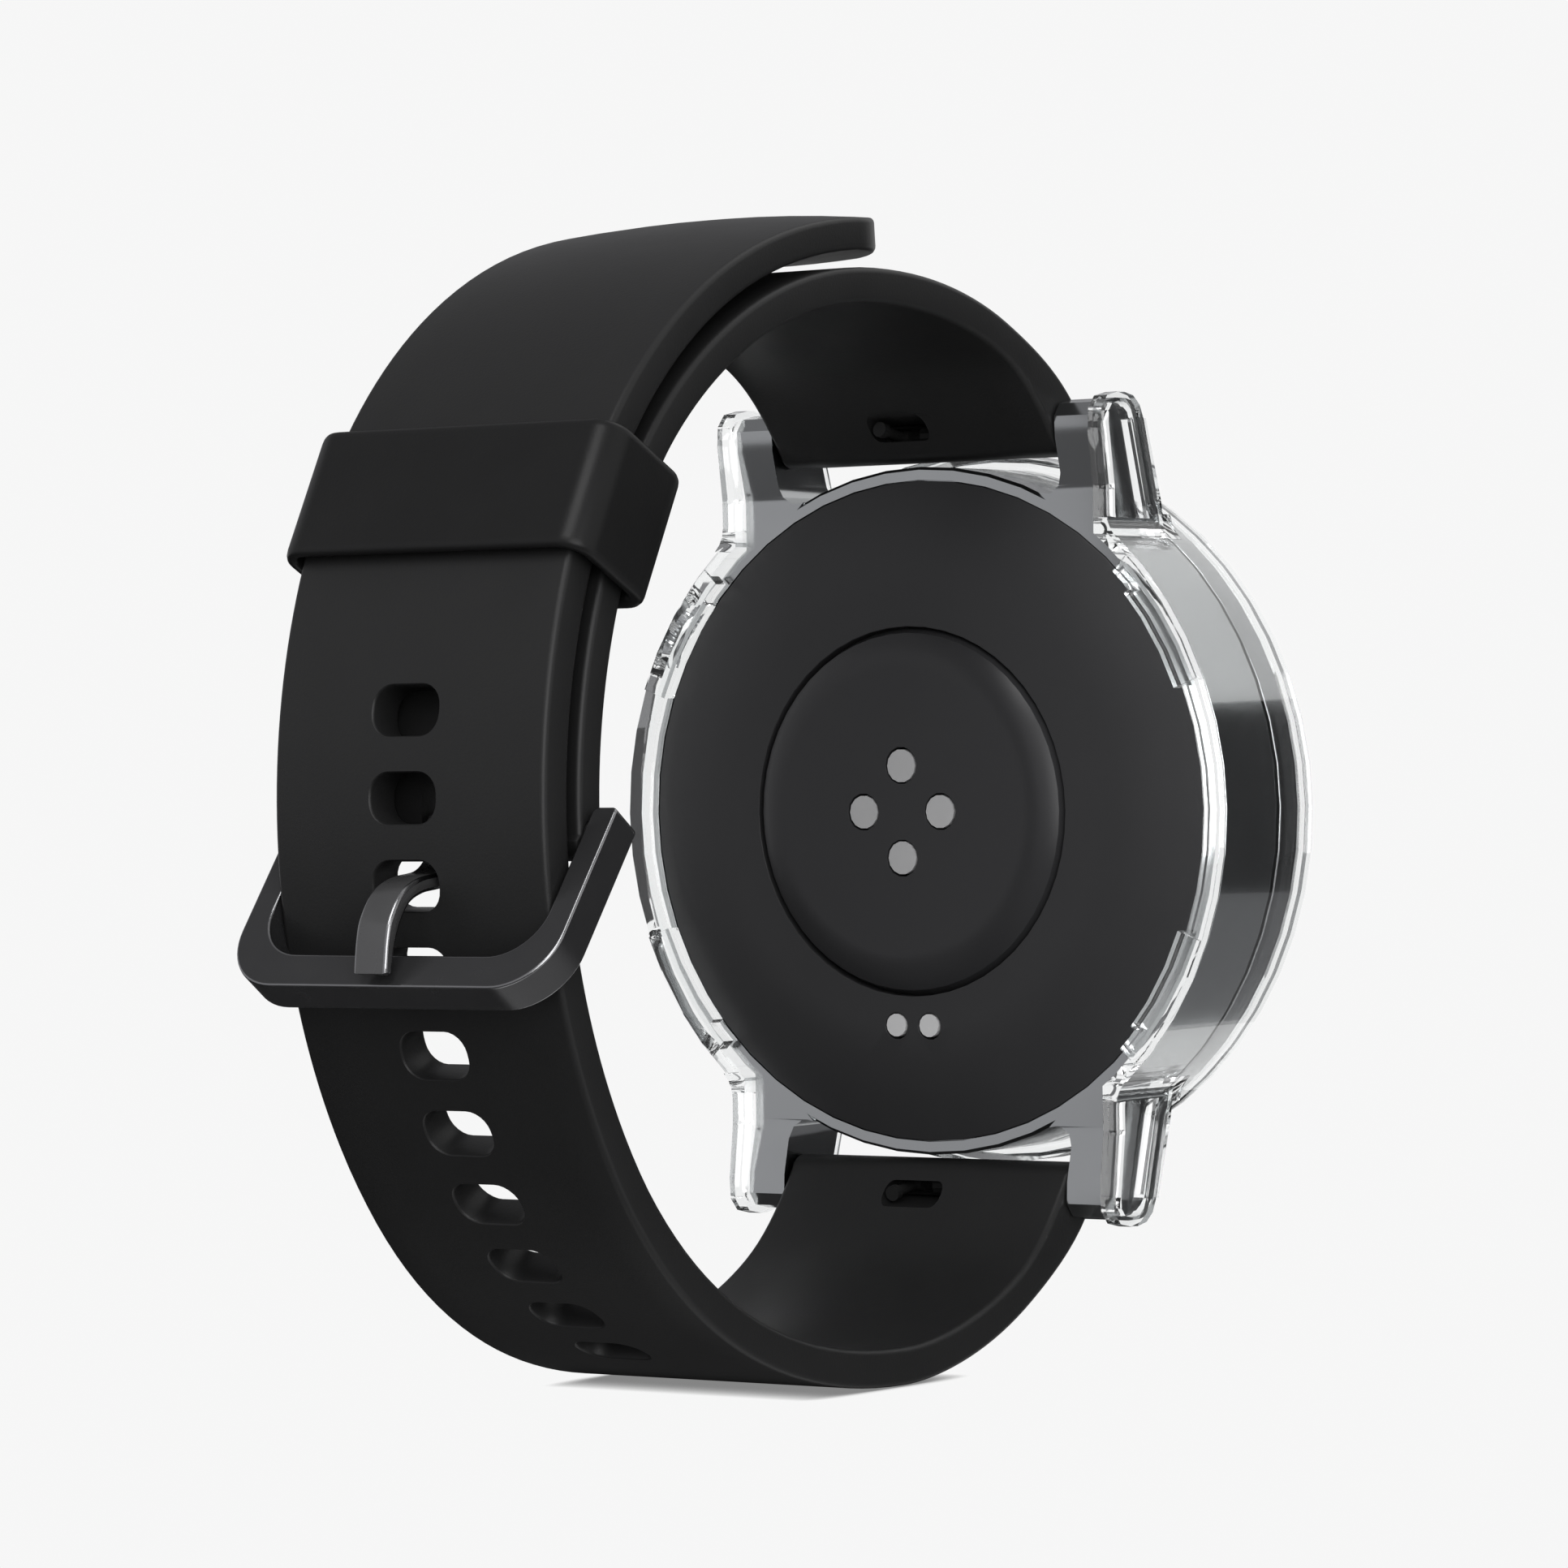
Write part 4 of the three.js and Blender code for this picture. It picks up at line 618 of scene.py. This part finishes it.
def smooth_path(points, steps):
    """Points of a smooth curve that passes through a row of points."""
    ends = [points[0] * 2 - points[1]] + points + [points[-1] * 2 - points[-2]]
    found = []
    for a, b, c, d in zip(ends, ends[1:], ends[2:], ends[3:]):
        for i in range(steps):
            t = i / steps
            found.append((b * 2 + (c - a) * t + (a * 2 - b * 5 + c * 4 - d) * t * t
                          + (b * 3 - a - c * 3 + d) * t**3) / 2)
    return found + [points[-1]]


strap_pieces = [make_short_strap(), make_long_strap()]
keeper_piece = make_keeper()
buckle_pieces = make_buckle()


# Materials

# The colour and how far it varies, the least and greatest roughness, the scale of these clouds, the
# strength and scale of the grain, the metallic share and the specular level
FINISHES = {
    "strap_rubber": ((0.0115, 0.0115, 0.0117), 0.001, 0.41, 0.47, 260, 0.2, 6000, 0, 0.25),
    "keeper_rubber": ((0.0095, 0.0095, 0.0097), 0.001, 0.33, 0.39, 260, 0.18, 6000, 0, 0.15),
    "gunmetal": ((0.052, 0.052, 0.054), 0.004, 0.22, 0.3, 400, 0.1, 5000, 0.6, 0.3),
    "tongue_metal": ((0.1, 0.1, 0.102), 0.006, 0.24, 0.32, 400, 0.1, 5000, 0.6, 0.3),
    # A lighter metal for the buckle's bevels, a painted highlight that draws their thin bright edge
    # lines
    "edge_highlight_metal": ((0.24, 0.24, 0.245), 0.02, 0.2, 0.3, 400, 0.05, 5000, 1, 0.5),
    "housing_steel": ((0.41, 0.42, 0.425), 0.02, 0.12, 0.18, 300, 0.02, 4000, 1, 0.5),
    "bezel_metal": ((0.3, 0.305, 0.31), 0.02, 0.13, 0.19, 300, 0.02, 4000, 1, 0.5),
    "pin_steel": ((0.4, 0.4, 0.41), 0.04, 0.25, 0.35, 500, 0.1, 4000, 1, 0.5),
    "cover_black": ((0.03, 0.03, 0.0313), 0.0015, 0.36, 0.44, 200, 0.08, 7000, 0, 0.2),
    "dome_black": ((0.027, 0.027, 0.0285), 0.0015, 0.28, 0.36, 200, 0.05, 7000, 0, 0.25),
    "lens_grey": ((0.4, 0.4, 0.405), 0.02, 0.3, 0.4, 500, 0.05, 5000, 0, 0.4),
    "contact_pale": ((0.56, 0.56, 0.565), 0.02, 0.3, 0.4, 500, 0.05, 5000, 0, 0.4),
    "glass_black": ((0.01, 0.01, 0.012), 0.001, 0.03, 0.08, 100, 0, 0, 0, 0.5),
    # Near-black painted shade for the spring bars and release pins, which makes the strap's release
    # slots read dark; the spring bars are steel
    "slot_shade_black": ((0.012, 0.012, 0.012), 0.0015, 0.45, 0.55, 300, 0.1, 3000, 0, 0.2),
    "inner_black": ((0.02, 0.02, 0.02), 0.003, 0.5, 0.7, 300, 0.1, 3000, 0, 0.2),
    "board_green": ((0.02, 0.1, 0.05), (0.002, 0.01, 0.005), 0.35, 0.5, 300, 0.1, 3000, 0, 0.5),
    "cell_foil": ((0.35, 0.36, 0.38), 0.03, 0.3, 0.5, 300, 0.1, 3000, 0.6, 0.5),
}
CLOUD_DETAIL, GRAIN_DETAIL, GRAIN_DEPTH = 5, 3, 0.00004
CLEAR_COLOUR, CLEAR_ROUGHNESS, CLEAR_IOR = (0.97, 0.98, 0.98), 0.02, 1.5
CLEAR_SHADOW = (0.94, 0.95, 0.95)

# Which finish each CAD node that shows, or that its rounded copy stands for, wears
WORN = {
    "bumper_case": "clear_plastic", "watch_housing": "housing_steel", "front_bezel": "bezel_metal",
    "front_seal": "inner_black", "display_glass": "glass_black", "display_panel": "glass_black",
    "inner_carrier": "inner_black", "battery": "cell_foil", "haptic_motor": "pin_steel",
    "main_board": "board_green", "sensor_board": "board_green", "back_cover": "cover_black",
    "sensor_dome": "dome_black", "crown_stem": "pin_steel", "crown_retainer": "pin_steel",
    "crown_wheel": "housing_steel", "crown_cap": "bezel_metal", "side_button": "housing_steel",
    # Spring bars and release pins wear painted shade, near black, for the dark release slots
    "button_retainer": "pin_steel", "spring_bar_top": "slot_shade_black",
    "spring_bar_bottom": "slot_shade_black", "release_pin_top": "slot_shade_black",
    "release_pin_bottom": "slot_shade_black", "buckle_pin": "gunmetal",
    "charging_contact_left": "contact_pale", "charging_contact_right": "contact_pale",
}
WORN.update({"sensor_window_" + side: "lens_grey" for side in ("top", "right", "bottom", "left")})

# Rounded copies: piece, body and width; two of them are spread in X and Z, which narrows the joints
ROUNDED = {
    "bumper_case": ("bumper_shell", "bumper", 0.16),
    "watch_housing": ("housing_shell", "watch", 0.14),
    "front_bezel": ("bezel_ring", "watch", 0.12),
    "back_cover": ("back_shell", "watch", 0.06),
    "sensor_dome": ("dome_shell", "watch", 0.05),
    "crown_wheel": ("crown_knurl", "crown", 0.06),
    "crown_cap": ("crown_face", "crown", 0.08),
    "side_button": ("button_key", "button", 0.08),
}
SPREAD = {"sensor_dome": 1.008, "back_cover": 1.004}
# A plate's edges with a painted highlight: between its flats and its sides, by the cosine to its
# normal
HIGHLIGHT_SLOPES = (0.2, 0.97)


def material(name, colour, roughness, metallic=0):
    """A new material, its node tree and its shader."""
    made = bpy.data.materials.new(name)
    made.use_nodes = True
    shader = made.node_tree.nodes["Principled BSDF"]
    shader.inputs["Base Color"].default_value = (*colour, 1)
    shader.inputs["Roughness"].default_value = roughness
    shader.inputs["Metallic"].default_value = metallic
    return made, made.node_tree, shader


def add(tree, kind, **values):
    """Adds a node and sets its sockets and its properties."""
    found = tree.nodes.new(kind)
    for key, value in values.items():
        if key in found.inputs:
            found.inputs[key].default_value = value
        else:
            setattr(found, key, value)
    return found


def add_range(tree, value, blend, shades, **values):
    """Takes a value from one range to another."""
    found = add(tree, "ShaderNodeMapRange", **values)
    found.inputs["From Min"].default_value, found.inputs["From Max"].default_value = blend
    found.inputs["To Min"].default_value, found.inputs["To Max"].default_value = shades
    tree.links.new(value, found.inputs["Value"])
    return found.outputs["Result"]


def varied(name, colour, spread, rough_low, rough_high, scale, grain, grain_scale, metallic,
           specular):
    """A finish with faint clouds of colour and roughness, and a fine grain."""
    made, tree, shader = material(name, colour, (rough_low + rough_high) / 2, metallic)
    shader.inputs["Specular IOR Level"].default_value = specular
    spreads = (spread,) * 3 if isinstance(spread, (int, float)) else spread
    where = add(tree, "ShaderNodeTexCoord").outputs["Object"]
    clouds = add(tree, "ShaderNodeTexNoise", Scale=scale, Detail=CLOUD_DETAIL)
    tree.links.new(where, clouds.inputs["Vector"])
    mix = add(tree, "ShaderNodeMix", data_type="RGBA")
    for socket, sign in (("A", -1), ("B", 1)):
        shade = [c + sign * d for c, d in zip(colour, spreads)]
        mix.inputs[socket].default_value = (*shade, 1)
    tree.links.new(clouds.outputs["Fac"], mix.inputs[0])
    tree.links.new(mix.outputs[2], shader.inputs["Base Color"])
    rough = add_range(tree, clouds.outputs["Fac"], (0, 1), (rough_low, rough_high))
    tree.links.new(rough, shader.inputs["Roughness"])
    if grain:
        fine = add(tree, "ShaderNodeTexNoise", Scale=grain_scale, Detail=GRAIN_DETAIL)
        tree.links.new(where, fine.inputs["Vector"])
        relief = add(tree, "ShaderNodeBump", Strength=grain, Distance=GRAIN_DEPTH)
        tree.links.new(fine.outputs["Fac"], relief.inputs["Height"])
        tree.links.new(relief.outputs["Normal"], shader.inputs["Normal"])
    return made


def clear_plastic():
    """Clear moulded plastic that lets the lamps through without a dark shadow."""
    made, tree, shader = material("clear_plastic", CLEAR_COLOUR, CLEAR_ROUGHNESS)
    shader.inputs["IOR"].default_value = CLEAR_IOR
    shader.inputs["Transmission Weight"].default_value = 1
    ghost = add(tree, "ShaderNodeBsdfTransparent", Color=(*CLEAR_SHADOW, 1))
    in_shadow = add(tree, "ShaderNodeLightPath").outputs["Is Shadow Ray"]
    show(tree, in_shadow, shader, ghost, "Material Output")
    return made


def show(tree, share, first, second, output):
    """Puts out a blend of two shaders."""
    mixer = add(tree, "ShaderNodeMixShader")
    tree.links.new(share, mixer.inputs[0])
    tree.links.new(first.outputs[0], mixer.inputs[1])
    tree.links.new(second.outputs[0], mixer.inputs[2])
    tree.links.new(mixer.outputs[0], tree.nodes[output].inputs["Surface"])


def dress(piece, finish):
    """Gives a piece one finish."""
    piece.data.materials.clear()
    piece.data.materials.append(finishes[finish])


def paint_edge_highlights(piece, normal):
    """Paints highlights with a lighter metal on the small sloping faces between a plate's flats and
    its sides.
    """
    piece.data.materials.append(finishes["edge_highlight_metal"])
    for face in piece.data.polygons:
        if HIGHLIGHT_SLOPES[0] < abs(face.normal.dot(normal)) < HIGHLIGHT_SLOPES[1]:
            face.material_index = 1


finishes = {name: varied(name, *facts) for name, facts in FINISHES.items()}
finishes["clear_plastic"] = clear_plastic()

for piece in strap_pieces:
    dress(piece, "strap_rubber")
dress(keeper_piece, "keeper_rubber")
buckle_angle = math.radians(BUCKLE_DEGREES)
buckle_normal = Vector((0, -math.sin(buckle_angle), math.cos(buckle_angle)))
for piece, finish, normal in zip(buckle_pieces, ("gunmetal", "tongue_metal"),
                                 (buckle_normal, Vector((1, 0, 0)))):
    dress(piece, finish)
    # Painted highlights on the bevels
    paint_edge_highlights(piece, normal)

for cad_node, finish in WORN.items():
    if cad_node in ROUNDED:
        piece = rounded_copy(cad_node, *ROUNDED[cad_node])
        spread = SPREAD.get(cad_node, 1)
        piece.data.transform(Matrix.Diagonal((spread, 1, spread, 1)))
        dress(piece, finish)
    else:
        dress(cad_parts[cad_node], finish)


# Camera

def camera_axes():
    """The camera's right, up and forward directions, with its slight roll."""
    turn, rise = math.radians(VIEW_DEGREES), math.radians(VIEW_RISE_DEGREES)
    forward = Vector((math.sin(turn) * math.cos(rise), -math.cos(turn) * math.cos(rise),
                      -math.sin(rise)))
    right = forward.cross(Vector((0, 0, 1))).normalized()
    up = right.cross(forward)
    roll = math.radians(VIEW_ROLL_DEGREES)
    rolled_right = right * math.cos(roll) + up * math.sin(roll)
    rolled_up = up * math.cos(roll) - right * math.sin(roll)
    return rolled_right, rolled_up, forward


right, up, forward = camera_axes()
camera_data = bpy.data.cameras.new("camera")
camera_data.sensor_width = SENSOR_WIDTH
camera_data.lens = SENSOR_WIDTH * FOCAL_PIXELS / IMAGE_PIXELS
camera_data.clip_start = CLIP_START
camera = bpy.data.objects.new("camera", camera_data)
bpy.context.scene.collection.objects.link(camera)
place = Matrix((right, up, -forward)).transposed().to_4x4()
place.translation = to_row(*(Vector(VIEW_TARGET) - forward * VIEW_DISTANCE))
camera.matrix_world = place
bpy.context.scene.camera = camera


# Floor, world, cards and lamps

FLOOR_GAP, FLOOR_SIZE, FLOOR_GREY = 0.00005, 1.5, 0.5
BACKDROP = (0.925, 0.925, 0.925, 1)
# The contact shadow, painted from ambient occlusion: its reach, the share of open sky between which
# it fades, and its darkest shade
SHADOW_REACH, SHADOW_SAMPLES, SHADOW_FADE, SHADOW_DARKEST = 0.0014, 24, (0.1, 0.72), 0.25

# The room that lights matt surfaces: between which places along a direction's Y or Z it changes,
# and its strengths there
HORIZON_BLEND, HORIZON_SHADES = (-0.3, 0.6), (0.05, 0.2)
UPPER_BLEND, UPPER_SHADE = (0.1, 0.4), 0.42
LOWER_BLEND, LOWER_SHADE = (-0.1, -0.6), 0.06

# Cards round the set: first and last azimuth, lowest and highest rise in degrees, brightness, and
# whether they also show through the clear plastic
CARD_RADIUS, CARD_STEP_DEGREES, CARD_BLUE = 0.9, 5, 1.03
CARDS = {
    "flag_side": (212, 262, -15, 17, 0.04, True),
    "flag_side_low": (212, 262, -50, -15, 0.2, True),
    "flag_front": (-10, 170, -8, 32, 0.6, False),
    "flag_front_low": (40, 170, -62, -8, 0.15, False),
    "flag_under": (-80, 40, -62, -8, 0.04, False),
    "flag_over": (-75, 170, 32, 80, 0.3, False),
    "flag_behind": (-75, -10, 8, 32, 0.35, False),
}

# Lamps: place, aim, size and brightness
LAMPS = {
    "key": ((-0.1, 0.45, 0.5), (0, 0.01, 0), (0.3, 0.3), 6.5),
    "fill": ((-0.5, 0.5, 0.12), (0, 0.01, 0), (0.5, 0.5), 4.4),
    "top": ((-0.1, -0.3, 0.5), (0, 0, 0), (0.4, 0.25), 0.7),
}
# The clear shell has many walls in a row, so that rays need more turns than usual
SURFACE_BOUNCES, ALL_BOUNCES = 16, 24


def add_mesh(name, corners, faces):
    """Links a mesh that belongs to the set, not to the object."""
    mesh = bpy.data.meshes.new(name)
    mesh.from_pydata(corners, [], faces)
    made = bpy.data.objects.new(name, mesh)
    bpy.context.scene.collection.objects.link(made)
    return made


def background_share(tree):
    """One for rays that show the background: the camera's, off gloss and through glass."""
    path = add(tree, "ShaderNodeLightPath")
    last = path.outputs["Is Camera Ray"]
    for name in ("Is Glossy Ray", "Is Transmission Ray"):
        either = add(tree, "ShaderNodeMath", operation="MAXIMUM")
        tree.links.new(last, either.inputs[0])
        tree.links.new(path.outputs[name], either.inputs[1])
        last = either.outputs[0]
    return last


def make_floor():
    """A pale floor that shows the backdrop's colour, with a soft contact shadow painted in from
    ambient occlusion.
    """
    floor_z = cad_box[0][2] - FLOOR_GAP
    corners = [(x * FLOOR_SIZE, y * FLOOR_SIZE, floor_z)
               for x, y in ((-1, -1), (1, -1), (1, 1), (-1, 1))]
    floor = add_mesh("floor", corners, [(0, 1, 2, 3)])
    made, tree, shader = material("floor_pale", (FLOOR_GREY,) * 3, 1)
    shader.inputs["Specular IOR Level"].default_value = 0
    contact = add(tree, "ShaderNodeAmbientOcclusion", Distance=SHADOW_REACH, samples=SHADOW_SAMPLES)
    shade = add_range(tree, contact.outputs["AO"], SHADOW_FADE, (SHADOW_DARKEST, 1))
    ghost = add(tree, "ShaderNodeBsdfTransparent")
    tree.links.new(shade, ghost.inputs["Color"])
    show(tree, background_share(tree), shader, ghost, "Material Output")
    floor.data.materials.append(made)


def blended(tree, share, a, b):
    """A value between a, which is a socket, and the number b."""
    found = add(tree, "ShaderNodeMix")
    tree.links.new(share, found.inputs[0])
    tree.links.new(a, found.inputs[2])
    found.inputs[3].default_value = b
    return found.outputs[0]


def make_world():
    """The backdrop, and for matt surfaces a room that is bright above and dark behind the watch."""
    world = bpy.data.worlds.new("studio")
    bpy.context.scene.world = world
    world.use_nodes = True
    tree = world.node_tree
    tree.nodes.clear()
    add(tree, "ShaderNodeOutputWorld", name="World Output")
    seen = add(tree, "ShaderNodeBackground", Color=BACKDROP)
    parts = add(tree, "ShaderNodeSeparateXYZ")
    tree.links.new(add(tree, "ShaderNodeTexCoord").outputs["Generated"], parts.inputs[0])
    y, z = parts.outputs["Y"], parts.outputs["Z"]
    smooth_step = {"interpolation_type": "SMOOTHSTEP"}
    whole = add_range(tree, y, HORIZON_BLEND, HORIZON_SHADES, **smooth_step)
    for blend, shade in ((UPPER_BLEND, UPPER_SHADE), (LOWER_BLEND, LOWER_SHADE)):
        whole = blended(tree, add_range(tree, z, blend, (0, 1), **smooth_step), whole, shade)
    room = add(tree, "ShaderNodeBackground", Color=(1, 1, 1, 1))
    tree.links.new(whole, room.inputs["Strength"])
    show(tree, background_share(tree), room, seen, "World Output")


def make_lamp(name, at, aim, size, radiance):
    """A soft box of the given brightness."""
    data = bpy.data.lights.new(name, "AREA")
    data.shape = "RECTANGLE"
    data.size, data.size_y = size
    data.energy = radiance * math.pi * size[0] * size[1]
    made = bpy.data.objects.new(name, data)
    bpy.context.scene.collection.objects.link(made)
    made.location = at
    made.rotation_euler = (Vector(aim) - Vector(at)).to_track_quat("-Z", "Y").to_euler()


def make_card(name, start, end, low, high, shade, through_clear):
    """A curved card that gloss shows, and if so told also rays through the clear plastic."""
    steps = max(2, round((end - start) / CARD_STEP_DEGREES))
    corners = []
    for i in range(steps + 1):
        angle = math.radians(start + (end - start) * i / steps)
        for rise in (low, high):
            corners.append((CARD_RADIUS * math.cos(angle), CARD_RADIUS * math.sin(angle),
                            CARD_RADIUS * math.tan(math.radians(rise))))
    card = add_mesh(name, corners, [(2 * i, 2 * i + 1, 2 * i + 3, 2 * i + 2) for i in range(steps)])
    card.visible_camera = False
    card.visible_diffuse = False
    card.visible_transmission = through_clear
    card.visible_shadow = False
    made, tree, _ = material(name, (shade,) * 3, 1)
    glow = add(tree, "ShaderNodeEmission", Color=(shade, shade, shade * CARD_BLUE, 1))
    tree.links.new(glow.outputs[0], tree.nodes["Material Output"].inputs["Surface"])
    card.data.materials.append(made)


make_floor()
make_world()
for name, facts in CARDS.items():
    make_card(name, *facts)
for name, facts in LAMPS.items():
    make_lamp(name, *facts)

bpy.context.scene.view_settings.view_transform = "Standard"
bpy.context.scene.cycles.glossy_bounces = SURFACE_BOUNCES
bpy.context.scene.cycles.transmission_bounces = SURFACE_BOUNCES
bpy.context.scene.cycles.max_bounces = ALL_BOUNCES
